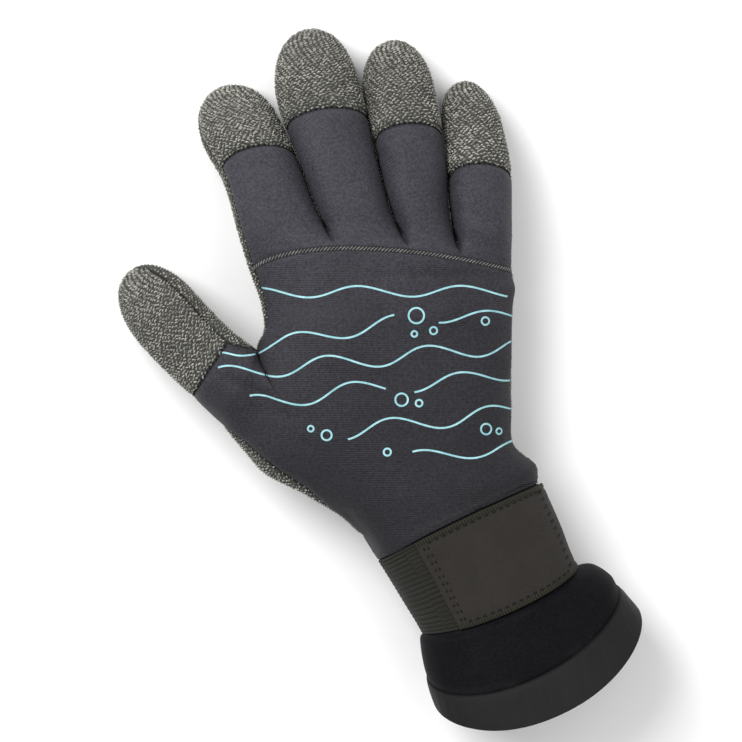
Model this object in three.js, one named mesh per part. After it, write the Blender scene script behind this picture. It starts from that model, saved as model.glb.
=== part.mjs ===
import * as THREE from 'three';

// A right-hand diving glove that lies palm down, in millimetres and degrees. +Y runs from the cuff to the
// fingertips, +Z from the palm to the back of the hand, and the thumb is on the -X side.

// Neoprene wall, and the gap that sewn panels and laid-on pieces keep from each other
const WALL = 5;
const SEAM_GAP = 0.3;

// Fingers: width at the knuckle seam, reach past that seam, and length of the fabric cap on the tip
const INDEX_WIDTH = 37;
const MIDDLE_WIDTH = 29;
const RING_WIDTH = 20;
const LITTLE_WIDTH = 19;
const INDEX_REACH = 78;
const MIDDLE_REACH = 99;
const RING_REACH = 94;
const LITTLE_REACH = 78;
const INDEX_CAP = 30;
const MIDDLE_CAP = 36;
const RING_CAP = 37;
const LITTLE_CAP = 36;
const FINGER_THICKNESS = 30;
const FINGER_GAP = 0.8;
const WEB_DEPTH = 14;
const CAP_BOW = 6;

// Thumb: its reach from the web, the lean of its axis away from the fingers, and the slant of its root
const THUMB_WIDTH = 33;
const THUMB_REACH = 69;
const THUMB_CAP = 54;
const THUMB_THICKNESS = 31;
const THUMB_ROOT_LEAN = 34;
const THUMB_TIP_LEAN = 20;
const THUMB_ROOT_SLANT = 13;
const THUMB_WEB = 31.5;

// Palm, from the strap's upper edge to the knuckle seam at the index finger
const PALM_LENGTH = 124.5;
const PALM_THICKNESS = 42;
const KNUCKLE_FALL = 30;
const KNUCKLE_ARCH = 10.2;

// Wrist, gauntlet and hem
const WRIST_WIDTH = 70;
const WRIST_THICKNESS = 45;
const CUFF_WIDTH = 94;
const CUFF_THICKNESS = 58;
const CUFF_LENGTH = 20;
const CUFF_BOW = 9;
const HEM_WIDTH = 12;
const HEM_PROUD = 0.5;

// Strap and the patch on it
const STRAP_WIDTH = 38;
const STRAP_THICKNESS = 1.5;
const PATCH_THICKNESS = 1.2;

// How the glove lies: the palm's clear height, how much lower its edges lie, and how far what touches the
// surface is pressed flat
const PALM_LIFT = 18;
const LITTLE_SIDE_DROP = 8;
const THUMB_SIDE_DROP = 9;
const FLOOR_PRESS = 1.5;

// Across each digit's back or front, and the squareness of the two kinds of section
const COLUMNS = 6;
const FINGER_ROUNDNESS = 2.2;
const HAND_ROUNDNESS = 2.4;
const TIP_ROUNDNESS = 2.2;
const TIP_SHARE = 0.85;

// Shape shares: how far the inner face stays back in the crotches between digits, and which way beside the
// thumb, the lean of the gauntlet's underside, the thumb's taper, and how the fingers' droop gathers
const CROTCH_PULL = 1.2;
const CROTCH_ANGLE = 60;
const UNDER_TILT_SHARE = 0.45;
const THUMB_TAPER = 0.95;
const DROOP_POWER = 1.6;
const DROOP_START = 0.4;
const DROOP_STEP = 0.02;
const WEB_CROWDING = 1.5;

const NEOPRENE = { color: 0x2f2e33, roughness: 0.85, metalness: 0 };
const TEXTURED = { color: 0x62625b, roughness: 0.95, metalness: 0 };
const HEM_CLOTH = { color: 0x1f1f20, roughness: 0.8, metalness: 0 };
const ELASTIC = { color: 0x2b2925, roughness: 0.75, metalness: 0 };
const PATCH_CLOTH = { color: 0x2c2825, roughness: 0.7, metalness: 0 };

const KNUCKLE_WIDTH = INDEX_WIDTH + MIDDLE_WIDTH + RING_WIDTH + LITTLE_WIDTH;
const LITTLE_SIDE_LENGTH = PALM_LENGTH - KNUCKLE_FALL;
const FINGERS = [
  { name: 'index', width: INDEX_WIDTH, reach: INDEX_REACH, cap: INDEX_CAP },
  { name: 'middle', width: MIDDLE_WIDTH, reach: MIDDLE_REACH, cap: MIDDLE_CAP },
  { name: 'ring', width: RING_WIDTH, reach: RING_REACH, cap: RING_CAP },
  { name: 'little', width: LITTLE_WIDTH, reach: LITTLE_REACH, cap: LITTLE_CAP },
];

// Sections of the gauntlet and hand, from the hem to the knuckles. x is a share of the cuff's, wrist's or
// knuckles' width. y is a share of the zone's length from its start, on the thumb's side (left) and on the
// little finger's side (right). mark names a row where pieces end.
const SECTIONS = [
  { zone: 'hem', leftX: -0.181, rightX: 0.809, leftY: 0.83, rightY: 1 },
  { zone: 'cuff', leftX: -0.181, rightX: 0.755, leftY: 1.05, rightY: 0.4, mark: 'hem seam' },
  { zone: 'cuff', leftX: -0.176, rightX: 0.734, leftY: 0.6, rightY: 0.1 },
  { zone: 'cuff', leftX: -0.165, rightX: 0.676, leftY: 0.275, rightY: -0.15 },
  { zone: 'wrist', leftX: -0.174, rightX: 0.774, leftY: 1.04, rightY: 0.842, mark: 'strap, lower edge' },
  { zone: 'wrist', leftX: -0.231, rightX: 0.739, leftY: 0.592, rightY: 0.342, mark: 'gauntlet seam' },
  { zone: 'wrist', leftX: -0.281, rightX: 0.696, leftY: 0.145, rightY: -0.145, mark: 'strap, upper edge' },
  { zone: 'palm', leftX: -0.226, rightX: 0.495, leftY: 0.005, rightY: 0.095, mark: 'wrist' },
  { zone: 'palm', leftX: -0.25, rightX: 0.5, leftY: 0.055, rightY: 0.145, mark: 'palm seam' },
  { zone: 'palm', leftX: -0.314, rightX: 0.438, leftY: 0.145, rightY: 0.265, mark: 'heel' },
  { zone: 'palm', leftX: -0.42, rightX: 0.481, leftY: 0.26, rightY: 0.434 },
  { zone: 'palm', leftX: -0.52, rightX: 0.524, leftY: 0.35, rightY: 0.593 },
  { zone: 'palm', leftX: -0.57, rightX: 0.562, leftY: 0.45, rightY: 0.73 },
  { zone: 'web', leftX: -0.429, rightX: 0.59, leftY: 1, rightY: 0.82, mark: 'thumb web' },
  { zone: 'web', leftX: -0.376, rightX: 0.61, leftY: 0.762, rightY: 0.884 },
  { zone: 'web', leftX: -0.357, rightX: 0.629, leftY: 0.397, rightY: 0.942 },
  { zone: 'web', leftX: -0.362, rightX: 0.638, leftY: 0, rightY: 1, mark: 'knuckle seam' },
];

// Heights of the same sections. top and bottom are shares of half the zone's thickness, clear is a share of
// the palm's lift, tilt the lean of the section's back in degrees, bow a share of the cuff's bow, and turnUp
// how far the palm fabric turns up over the outer edge, in degrees round the section.
const SECTION_HEIGHTS = [
  { top: 1, bottom: 1, clear: 0, tilt: 27, bow: 1, turnUp: 0 },
  { top: 0.98, bottom: 0.93, clear: 0, tilt: 20, bow: 0.78, turnUp: 0 },
  { top: 0.96, bottom: 0.89, clear: 0.06, tilt: 14, bow: 0.55, turnUp: 0 },
  { top: 0.91, bottom: 0.84, clear: 0.15, tilt: 9, bow: 0.39, turnUp: 0 },
  { top: 1.02, bottom: 0.95, clear: 0.35, tilt: 6, bow: 0.28, turnUp: 0 },
  { top: 1.01, bottom: 0.93, clear: 0.5, tilt: 2, bow: 0, turnUp: 0 },
  { top: 1.01, bottom: 0.93, clear: 0.55, tilt: 0, bow: -0.17, turnUp: 0 },
  { top: 1.17, bottom: 1.08, clear: 0.52, tilt: 0, bow: -0.1, turnUp: 0 },
  { top: 1.18, bottom: 1.09, clear: 0.52, tilt: 0, bow: 0, turnUp: 0 },
  { top: 1.12, bottom: 1.05, clear: 0.6, tilt: 0, bow: 0, turnUp: 0 },
  { top: 1.07, bottom: 1, clear: 0.7, tilt: 0, bow: 0, turnUp: 40 },
  { top: 1.05, bottom: 0.95, clear: 0.8, tilt: 0, bow: 0, turnUp: 50 },
  { top: 1.05, bottom: 0.9, clear: 0.9, tilt: 0, bow: 0, turnUp: 35 },
  { top: 1.02, bottom: 0.88, clear: 1, tilt: 0, bow: 0, turnUp: 0 },
  { top: 1, bottom: 0.86, clear: 1, tilt: 0, bow: 0, turnUp: 22 },
  { top: 0.98, bottom: 0.84, clear: 1.02, tilt: 0, bow: 0, turnUp: 32 },
  { top: 0.95, bottom: 0.81, clear: 1.05, tilt: 0, bow: 0, turnUp: 0 },
];

// How the hand spreads into the thumb, for the same sections. webX and webY are shares of the way from the
// wrist to the thumb's web, toRoot the outer edge's share of the way from the heel to the thumb's root and
// puff its bulge, split the depth of the groove beside the thumb, arch the share of the knuckles' arch, and
// little and thumb the shares of what those sides drop.
const WRIST_SPREAD = { webX: 0, webY: 0, toRoot: 0, puff: 0, split: 0, arch: 0, little: 0, thumb: 0 };
const HEEL_SPREADS = [
  { webX: 0.097, webY: 0.109, toRoot: 0, puff: 0, split: 0, arch: 0, little: 0.05, thumb: 0 },
  { webX: 0.29, webY: 0.283, toRoot: 0, puff: 0, split: 0, arch: 0.04, little: 0.25, thumb: 0.1 },
  { webX: 0.58, webY: 0.478, toRoot: 0.27, puff: 0.03, split: 0, arch: 0.12, little: 0.4, thumb: 0.3 },
  { webX: 0.82, webY: 0.663, toRoot: 0.56, puff: 0.09, split: 0, arch: 0.25, little: 0.6, thumb: 0.6 },
  { webX: 0.95, webY: 0.848, toRoot: 0.79, puff: 0.05, split: 0.15, arch: 0.4, little: 0.75, thumb: 0.85 },
  { webX: 1, webY: 1, toRoot: 1, puff: 0, split: 1, arch: 0.55, little: 0.85, thumb: 1 },
  { webX: 1, webY: 1, toRoot: 1, puff: 0, split: 1, arch: 0.7, little: 0.9, thumb: 1 },
  { webX: 1, webY: 1, toRoot: 1, puff: 0, split: 1, arch: 0.85, little: 0.95, thumb: 1 },
  { webX: 1, webY: 1, toRoot: 1, puff: 0, split: 1, arch: 1, little: 1, thumb: 1 },
];

// Rows of the grid: the sections above, the fingers' webs, the cap lines and the tips
const rowOf = (mark) => SECTIONS.findIndex((section) => section.mark === mark);
const HEM_ROW = rowOf('hem seam');
const STRAP_LOW_ROW = rowOf('strap, lower edge');
const GAUNTLET_ROW = rowOf('gauntlet seam');
const STRAP_TOP_ROW = rowOf('strap, upper edge');
const WRIST_ROW = rowOf('wrist');
const PALM_START_ROW = rowOf('palm seam');
const HEEL_ROW = rowOf('heel');
const THUMB_ROW = rowOf('thumb web');
const KNUCKLE_ROW = rowOf('knuckle seam');
const WEB_ROW = KNUCKLE_ROW + 3;
const CAP_ROW = WEB_ROW + 5;
const TIP_ROW = CAP_ROW + 6;
const THUMB_CAP_ROW = THUMB_ROW + 3;
const THUMB_TIP_ROW = THUMB_CAP_ROW + 7;
const WEB_SPLITS = [0, 0.3, 0.65, 1];
const THUMB_COLUMN_SHARE = 0.13;
const PATCH_START_COLUMN = 2;

// The lines between the fingers as they fan out. along is a share of the middle finger's reach past the
// knuckles, and each line moves sideways by a share of the knuckles' width.
const FINGER_LINES = [
  { along: 0, line1: 0, line2: 0, line3: 0, line4: 0, line5: 0 },
  { along: 0.2, line1: 0, line2: -0.029, line3: -0.021, line4: 0.01, line5: 0.057 },
  { along: 0.4, line1: 0.002, line2: -0.041, line3: -0.014, line4: 0.057, line5: 0.112 },
  { along: 0.6, line1: -0.041, line2: -0.058, line3: 0.002, line4: 0.088, line5: 0.135 },
  { along: 0.8, line1: -0.086, line2: -0.047, line3: 0.014, line4: 0.11, line5: 0.13 },
  { along: 1, line1: -0.124, line2: -0.038, line3: 0.03, line4: 0.125, line5: 0.125 },
];

// Thickness of a digit from its web to its tip, as shares of half its thickness on each side
const DIGIT_SECTIONS = [
  { along: 0, back: 1.14, front: 1.08 },
  { along: 0.25, back: 1.05, front: 0.98 },
  { along: 0.5, back: 1.03, front: 0.95 },
  { along: 0.75, back: 0.98, front: 0.95 },
  { along: 1, back: 0.95, front: 0.92 },
];

// The strip of palm fabric that shows along the index finger's outer edge and along the thumb's inner edge,
// in degrees round the section
const INDEX_STRIP_ANGLE = 36;
const THUMB_STRIP_ANGLE = 42;

// Soft dents in the back of the hand: centre row and half length along it, reach across the fingers as
// shares of the knuckles' width, and depth as a share of the wall
const DENTS = [
  { name: 'below the knuckle seam', row: 14.4, rows: 0.8, from: 0.4, to: 1, depth: 0.4 },
  { name: 'above the wrist', row: 9.5, rows: 1.2, from: 0.2, to: 0.8, depth: 0.2 },
];

const degrees = Math.PI / 180;
const mix = (a, b, t) => a + (b - a) * t;
const mixPoints = (a, b, t) => a.map((value, axis) => mix(value, b[axis], t));
const clamp01 = (value) => Math.min(1, Math.max(0, value));
const round = (u, power) => (1 - Math.abs(1 - 2 * u) ** power) ** (1 / power);

// Smooth value of one column of a table between its rows, by a Catmull-Rom curve
function fromTable(table, column, along) {
  const step = 1 / (table.length - 1);
  const place = clamp01(along) / step;
  const first = Math.min(Math.floor(place), table.length - 2);
  const value = (row) => table[Math.min(Math.max(row, 0), table.length - 1)][column];
  const [p0, p1, p2, p3] = [first - 1, first, first + 1, first + 2].map(value);
  const t = place - first;
  return 0.5 * (2 * p1 + (p2 - p0) * t + (2 * p0 - 5 * p1 + 4 * p2 - p3) * t * t
    + (3 * p1 - p0 - 3 * p2 + p3) * t * t * t);
}

// Shares of the knuckles' width at which the lines between the fingers stand: line 1 is the index
// finger's outer edge and line 5 the little finger's
const LINE_SHARES = [0];
for (const finger of FINGERS) LINE_SHARES.push(LINE_SHARES.at(-1) + finger.width / KNUCKLE_WIDTH);
const acrossKnuckles = (digit, u) => mix(LINE_SHARES[digit - 1], LINE_SHARES[digit], u);

// Rise of the knuckle line over its chord: s to the power 0.6 times (1 - s), scaled to a peak of 1
const ARCH_POWER = 0.6;
const ARCH_PEAK_AT = ARCH_POWER / (1 + ARCH_POWER);
const ARCH_PEAK = ARCH_PEAK_AT ** ARCH_POWER * (1 - ARCH_PEAK_AT);
const knuckleArch = (s) => (KNUCKLE_ARCH * s ** ARCH_POWER * (1 - s)) / ARCH_PEAK;

function spreadOf(row) {
  return row < PALM_START_ROW ? WRIST_SPREAD : HEEL_SPREADS[row - PALM_START_ROW];
}

// Zones that the sections' shares follow: width, thickness, and the start and length of the zone's y on the
// thumb's side (left) and the little finger's side (right)
const ZONES = {
  hem: { width: CUFF_WIDTH, thickness: CUFF_THICKNESS, start: null, left: -HEM_WIDTH, right: -HEM_WIDTH },
  cuff: {
    width: CUFF_WIDTH, thickness: CUFF_THICKNESS, start: [-STRAP_WIDTH, -STRAP_WIDTH],
    left: -CUFF_LENGTH, right: -CUFF_LENGTH,
  },
  wrist: {
    width: WRIST_WIDTH, thickness: WRIST_THICKNESS, start: [0, 0],
    left: -STRAP_WIDTH, right: -STRAP_WIDTH,
  },
  palm: {
    width: KNUCKLE_WIDTH, thickness: PALM_THICKNESS, start: [0, 0],
    left: PALM_LENGTH, right: LITTLE_SIDE_LENGTH,
  },
  web: {
    width: KNUCKLE_WIDTH, thickness: PALM_THICKNESS, start: [PALM_LENGTH, 0],
    left: -THUMB_WEB, right: LITTLE_SIDE_LENGTH,
  },
};

// Sizes of a section of the hand: its outer corners in the plan and its heights
function sectionOf(row) {
  const section = SECTIONS[row];
  const heights = SECTION_HEIGHTS[row];
  const zone = ZONES[section.zone];
  const start = zone.start ?? [sectionOf(HEM_ROW).left[1], sectionOf(HEM_ROW).right[1]];
  const bottom = (heights.bottom * zone.thickness) / 2;
  return {
    left: [section.leftX * zone.width, start[0] + section.leftY * zone.left],
    right: [section.rightX * zone.width, start[1] + section.rightY * zone.right],
    top: (heights.top * zone.thickness) / 2,
    bottom,
    seam: bottom + heights.clear * PALM_LIFT - FLOOR_PRESS,
    tilt: heights.tilt,
    bow: heights.bow * CUFF_BOW,
  };
}

// Unit vector across the thumb, from its outer edge to its inner one, at a share of its reach
function acrossThumb(t) {
  const lean = mix(THUMB_ROOT_LEAN, THUMB_TIP_LEAN, t) + THUMB_ROOT_SLANT * (1 - t) ** 2;
  return [Math.cos(lean * degrees), Math.sin(lean * degrees)];
}

const THUMB_WEB_POINT = sectionOf(THUMB_ROW).left;
const THUMB_ROOT_WIDTH = THUMB_WIDTH / Math.cos(THUMB_ROOT_SLANT * degrees);
const alongRoot = (width) => THUMB_WEB_POINT.map((value, axis) => value - width * acrossThumb(0)[axis]);
const THUMB_ROOT_POINT = alongRoot(THUMB_ROOT_WIDTH);

// Points of the plan where a row of the hand crosses the outer edges and the line beside the thumb
function edgesOf(row) {
  const section = sectionOf(row);
  const spread = spreadOf(row);
  if (row > THUMB_ROW) return { outer: null, web: section.left, right: section.right };
  const wrist = sectionOf(WRIST_ROW);
  const wristWeb = mixPoints(wrist.left, wrist.right, THUMB_COLUMN_SHARE);
  const web = row < PALM_START_ROW ? mixPoints(section.left, section.right, THUMB_COLUMN_SHARE)
    : [mix(wristWeb[0], THUMB_WEB_POINT[0], spread.webX), mix(wristWeb[1], THUMB_WEB_POINT[1], spread.webY)];
  let outer = section.left;
  if (row > HEEL_ROW) {
    const heel = sectionOf(HEEL_ROW).left;
    const way = [THUMB_ROOT_POINT[0] - heel[0], THUMB_ROOT_POINT[1] - heel[1]];
    outer = mixPoints(heel, THUMB_ROOT_POINT, spread.toRoot);
    outer = [outer[0] - way[1] * spread.puff, outer[1] + way[0] * spread.puff];
  }
  return { outer, web, right: section.right };
}

// Keeps the inner face clear of the outer one at the thumb's crotch
function pastCrotch([x, y], inset) {
  const pull = CROTCH_PULL * inset;
  return [x + pull * Math.cos(CROTCH_ANGLE * degrees), y - pull * Math.sin(CROTCH_ANGLE * degrees)];
}

// Middle height of the hand, where back and palm are sewn together, across the fingers (s from 0 to 1)
const seamHeight = (row, s) => sectionOf(row).seam - LITTLE_SIDE_DROP * spreadOf(row).little * s * s;

function dentDepth(row, s) {
  let depth = 0;
  for (const dent of DENTS) {
    const along = Math.exp(-(((row - dent.row) / dent.rows) ** 2));
    const across = Math.sin(Math.PI * clamp01((s - dent.from) / (dent.to - dent.from)));
    depth += dent.depth * WALL * along * across;
  }
  return depth;
}

// Half thickness of a digit on its back or front, at a share of the way from its web to its tip
function digitHeight(digit, t, back) {
  const thickness = digit === 0 ? THUMB_THICKNESS : FINGER_THICKNESS;
  return (fromTable(DIGIT_SECTIONS, back ? 'back' : 'front', t) * thickness) / 2;
}

// Share of the full section left where the tip rounds off, at a distance from the tip
function tipRounding(distance, width) {
  const rounding = TIP_SHARE * width;
  return distance >= rounding ? 1 : (1 - (1 - distance / rounding) ** TIP_ROUNDNESS) ** (1 / TIP_ROUNDNESS);
}

// A line between fingers at a distance past the knuckles, line 1 to 5
function fingerLine(line, distance) {
  const base = sectionOf(KNUCKLE_ROW);
  const start = mix(base.left[0], base.right[0], LINE_SHARES[line - 1]);
  return start + fromTable(FINGER_LINES, `line${line}`, distance / MIDDLE_REACH) * KNUCKLE_WIDTH;
}

function knuckleY(s) {
  const base = sectionOf(KNUCKLE_ROW);
  return mix(base.left[1], base.right[1], s) + knuckleArch(s);
}

// Plan of the hand on the thumb's side: the point, its middle height and its share of the whole section
function thumbSidePlan(row, u, inset) {
  const { outer, web, right } = edgesOf(row);
  const spread = spreadOf(row);
  const length = Math.hypot(web[0] - outer[0], web[1] - outer[1]);
  return {
    point: mixPoints(mixPoints(outer, web, inset / length), pastCrotch(web, inset * spread.split), u),
    seam: seamHeight(row, 0) - THUMB_SIDE_DROP * spread.thumb * (1 - u),
    across: (u * (web[0] - outer[0])) / (right[0] - outer[0]),
  };
}

// The same on the fingers' side, up to their webs
function fingerSidePlan(digit, row, u, inset) {
  const tableRow = Math.min(row, KNUCKLE_ROW);
  const { outer, web, right } = edgesOf(tableRow);
  const spread = spreadOf(tableRow);
  const s = acrossKnuckles(digit, u);
  const past = (WEB_DEPTH * (row - tableRow)) / (WEB_ROW - KNUCKLE_ROW);
  const left = row <= THUMB_ROW ? pastCrotch(web, inset * spread.split) : [web[0] + inset, web[1]];
  const point = mixPoints(left, [right[0] - inset, right[1]], s);
  const shift = (line) => (row > KNUCKLE_ROW ? fingerLine(line, past) - fingerLine(line, 0) : 0);
  const pull = CROTCH_PULL * inset * WEB_SPLITS[row - tableRow];
  point[0] += mix(shift(digit), shift(digit + 1), u);
  point[1] += spread.arch * knuckleArch(s) + past - mix(digit === 1 ? 0 : pull, digit === 4 ? 0 : pull, u);
  const thumbShare = outer ? (web[0] - outer[0]) / (right[0] - outer[0]) : 0;
  return { point, seam: seamHeight(tableRow, s), across: row === THUMB_ROW ? s : mix(thumbShare, 1, s) };
}

// A point of the hand between hem and webs. inset moves it inwards from the outside of the neoprene.
function handPoint(digit, row, u, back, inset) {
  const tableRow = Math.min(row, KNUCKLE_ROW);
  const section = sectionOf(tableRow);
  const plan = digit === 0 ? thumbSidePlan(row, u, inset) : fingerSidePlan(digit, row, u, inset);
  const s = digit === 0 ? 0 : acrossKnuckles(digit, u);
  const webSplit = WEB_SPLITS[row - tableRow];
  const thumbSplit = row <= THUMB_ROW ? spreadOf(row).split : 0;
  const split = row >= KNUCKLE_ROW ? webSplit : thumbSplit;
  const alone = digit === 0 || row >= KNUCKLE_ROW;
  const whole = back ? section.top : section.bottom;
  const own = alone ? digitHeight(digit, 0, back) : whole;
  const ownRound = alone ? round(u, FINGER_ROUNDNESS) : round(s, HAND_ROUNDNESS);
  let height = mix((whole - inset) * round(plan.across, HAND_ROUNDNESS), (own - inset) * ownRound, split);
  if (back && digit > 0) height -= dentDepth(row, s) * (1 - webSplit);
  const z = Math.max(plan.seam + (back ? height : -height), inset, 0);
  const lean = Math.tan((back ? section.tilt : section.tilt * UNDER_TILT_SHARE) * degrees) * (z - plan.seam);
  const bow = section.bow * 4 * plan.across * (1 - plan.across);
  return [plan.point[0], plan.point[1] - lean - bow, z];
}

// Share of a finger's way from web to tip at a row: close rows at the web and round the tip
function fingerShare(row, capShare, webRow, capRow, tipRow) {
  if (row <= capRow) return capShare * ((row - webRow) / (capRow - webRow)) ** WEB_CROWDING;
  return mix(capShare, 1, Math.sin(((row - capRow) / (tipRow - capRow)) * 90 * degrees));
}

// How far a digit's tip sinks so that its front just meets the surface
function droop(startSeam, digit, width, reach) {
  let least = Infinity;
  for (let t = DROOP_START; t < 1; t += DROOP_STEP) {
    const lowest = digitHeight(digit, t, false) * tipRounding((1 - t) * reach, width);
    least = Math.min(least, (startSeam - lowest + FLOOR_PRESS) / t ** DROOP_POWER);
  }
  return least;
}

function fingerPoint(digit, row, u, back, inset) {
  const finger = FINGERS[digit - 1];
  const middle = acrossKnuckles(digit, 0.5);
  const tipY = knuckleY(middle) + finger.reach;
  const length = finger.reach - WEB_DEPTH;
  const capShare = 1 - (finger.cap + CAP_BOW) / length;
  const t = fingerShare(row, capShare, WEB_ROW, CAP_ROW, TIP_ROW);
  const past = clamp01((t - capShare) / (1 - capShare));
  const s = acrossKnuckles(digit, u);
  const lineX = (line) => {
    const start = knuckleY(LINE_SHARES[line - 1]);
    return fingerLine(line, mix(start + WEB_DEPTH, tipY, t) - start);
  };
  const opening = clamp01(row - WEB_ROW);
  const leftOpening = digit === 1 ? 1 : opening;
  const rightOpening = digit === 4 ? 1 : opening;
  const left = lineX(digit) + (inset + (digit === 1 ? 0 : FINGER_GAP / 2)) * leftOpening;
  const right = lineX(digit + 1) - (inset + (digit === 4 ? 0 : FINGER_GAP / 2)) * rightOpening;
  const fullWidth = right - left + inset * (leftOpening + rightOpening);
  const rounding = tipRounding((1 - t) * length, fullWidth);
  const centre = (left + right) / 2;
  const x = centre + (u - 0.5) * (right - left) * rounding;
  const fade = 1 - clamp01(t / capShare);
  const pull = CROTCH_PULL * inset * fade;
  const bow = CAP_BOW * Math.sin(Math.PI * Math.min(1, t / (2 * capShare))) * (1 - past);
  const y = mix(knuckleY(s) + WEB_DEPTH, tipY, t) - mix(digit === 1 ? 0 : pull, digit === 4 ? 0 : pull, u)
    - inset * past + bow * Math.sqrt(4 * u * (1 - u));
  const startSeam = seamHeight(KNUCKLE_ROW, middle);
  const seam = mix(seamHeight(KNUCKLE_ROW, s), startSeam, t)
    - droop(startSeam, digit, fullWidth, length) * t ** DROOP_POWER;
  const height = (digitHeight(digit, t, back) - inset) * rounding * round(u, FINGER_ROUNDNESS);
  return [x, y, Math.max(seam + (back ? height : -height), inset, 0)];
}

// A point of the thumb's axis in the plan: an arc from the middle of its root whose lean goes from the
// root's to the tip's, so that its place is the lean's integral
function thumbAxis(t) {
  const turn = (THUMB_ROOT_LEAN - THUMB_TIP_LEAN) * degrees;
  const start = THUMB_ROOT_LEAN * degrees;
  const lean = mix(THUMB_ROOT_LEAN, THUMB_TIP_LEAN, t) * degrees;
  const root = alongRoot(THUMB_ROOT_WIDTH / 2);
  return {
    x: root[0] - (THUMB_REACH * (Math.cos(lean) - Math.cos(start))) / turn,
    y: root[1] + (THUMB_REACH * (Math.sin(start) - Math.sin(lean))) / turn,
    direction: [-Math.sin(lean), Math.cos(lean)],
  };
}

function thumbPoint(row, u, back, inset) {
  const capShare = 1 - THUMB_CAP / THUMB_REACH;
  const t = fingerShare(row, capShare, THUMB_ROW, THUMB_CAP_ROW, THUMB_TIP_ROW);
  const past = clamp01((t - capShare) / (1 - capShare));
  const axis = thumbAxis(t);
  const normal = acrossThumb(t);
  const width = mix(THUMB_ROOT_WIDTH, THUMB_WIDTH * THUMB_TAPER, clamp01(t / capShare));
  const rounding = tipRounding((1 - t) * THUMB_REACH, width);
  const low = -width / 2 + inset;
  const high = width / 2 - inset * clamp01(row - THUMB_ROW);
  const across = (low + high) / 2 + (u - 0.5) * (high - low) * rounding;
  const fade = 1 - clamp01(t / capShare);
  const [x, y] = pastCrotch([axis.x + across * normal[0], axis.y + across * normal[1]], inset * fade * u);
  const startSeam = seamHeight(THUMB_ROW, 0) - THUMB_SIDE_DROP / 2;
  const seam = startSeam + THUMB_SIDE_DROP * (u - 0.5) * (1 - t)
    - droop(startSeam, 0, width, THUMB_REACH) * t ** DROOP_POWER;
  const height = (digitHeight(0, t, back) - inset) * rounding * round(u, FINGER_ROUNDNESS);
  const z = Math.max(seam + (back ? height : -height), inset, 0);
  return [x - inset * past * axis.direction[0], y - inset * past * axis.direction[1], z];
}

// A point of the glove's skin. Digit 0 is the thumb, 1 the index finger and 4 the little finger, and the
// angle runs over the back from 0 on the thumb's side to 180, and under the palm with a minus sign. Past -180
// it comes up over the back again.
function skinPoint(digit, row, angle, side, inset) {
  const u = (1 - Math.cos(angle * degrees)) / 2;
  const back = angle > 0 || angle < -180 || (angle === 0 && side === 'back');
  if (digit === 0 && row > THUMB_ROW) return thumbPoint(row, u, back, inset);
  if (digit > 0 && row > WEB_ROW) return fingerPoint(digit, row, u, back, inset);
  return handPoint(digit, row, u, back, inset);
}

// Angle of the seam between back and palm on a digit's outer edge, where the palm fabric turns up
function outerSeamAngle(digit, row) {
  if (digit === 0) return row < THUMB_ROW ? SECTION_HEIGHTS[row].turnUp : 0;
  if (digit > 1 || row <= THUMB_ROW) return 0;
  if (row < KNUCKLE_ROW) return SECTION_HEIGHTS[row].turnUp;
  return INDEX_STRIP_ANGLE * (1 - clamp01((row - CAP_ROW) / (TIP_ROW - CAP_ROW)));
}

// How far the palm fabric comes up over a digit's inner edge, in degrees
function innerStripAngle(digit, row) {
  return digit === 0 ? THUMB_STRIP_ANGLE * clamp01((row - THUMB_ROW) / (THUMB_CAP_ROW - THUMB_ROW)) : 0;
}

function columnAngle(digit, row, column, side) {
  const start = outerSeamAngle(digit, row);
  const end = 180 - innerStripAngle(digit, row);
  return mix(start, side === 'back' ? end : end - 360, column / COLUMNS);
}

// The same corner of the grid belongs to neighbouring digits below their web, and to back and palm at a seam
function cornerOf(digit, row, column, side) {
  const tipRow = digit === 0 ? THUMB_TIP_ROW : TIP_ROW;
  if (row === tipRow) return { digit, row, column: 0, side: 'back' };
  const joins = (line) => row <= (line === 1 ? THUMB_ROW : WEB_ROW);
  if (column === COLUMNS && digit < 4 && joins(digit + 1)) return cornerOf(digit + 1, row, 0, side);
  const webRow = digit === 1 ? THUMB_ROW : WEB_ROW;
  const leftSeam = column === 0 && (digit === 0 || row >= webRow);
  const nextWebRow = digit === 0 ? THUMB_ROW : WEB_ROW;
  const rightSeam = column === COLUMNS && (digit === 4 || row >= nextWebRow);
  return { digit, row, column, side: leftSeam || rightSeam ? 'back' : side };
}

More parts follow.
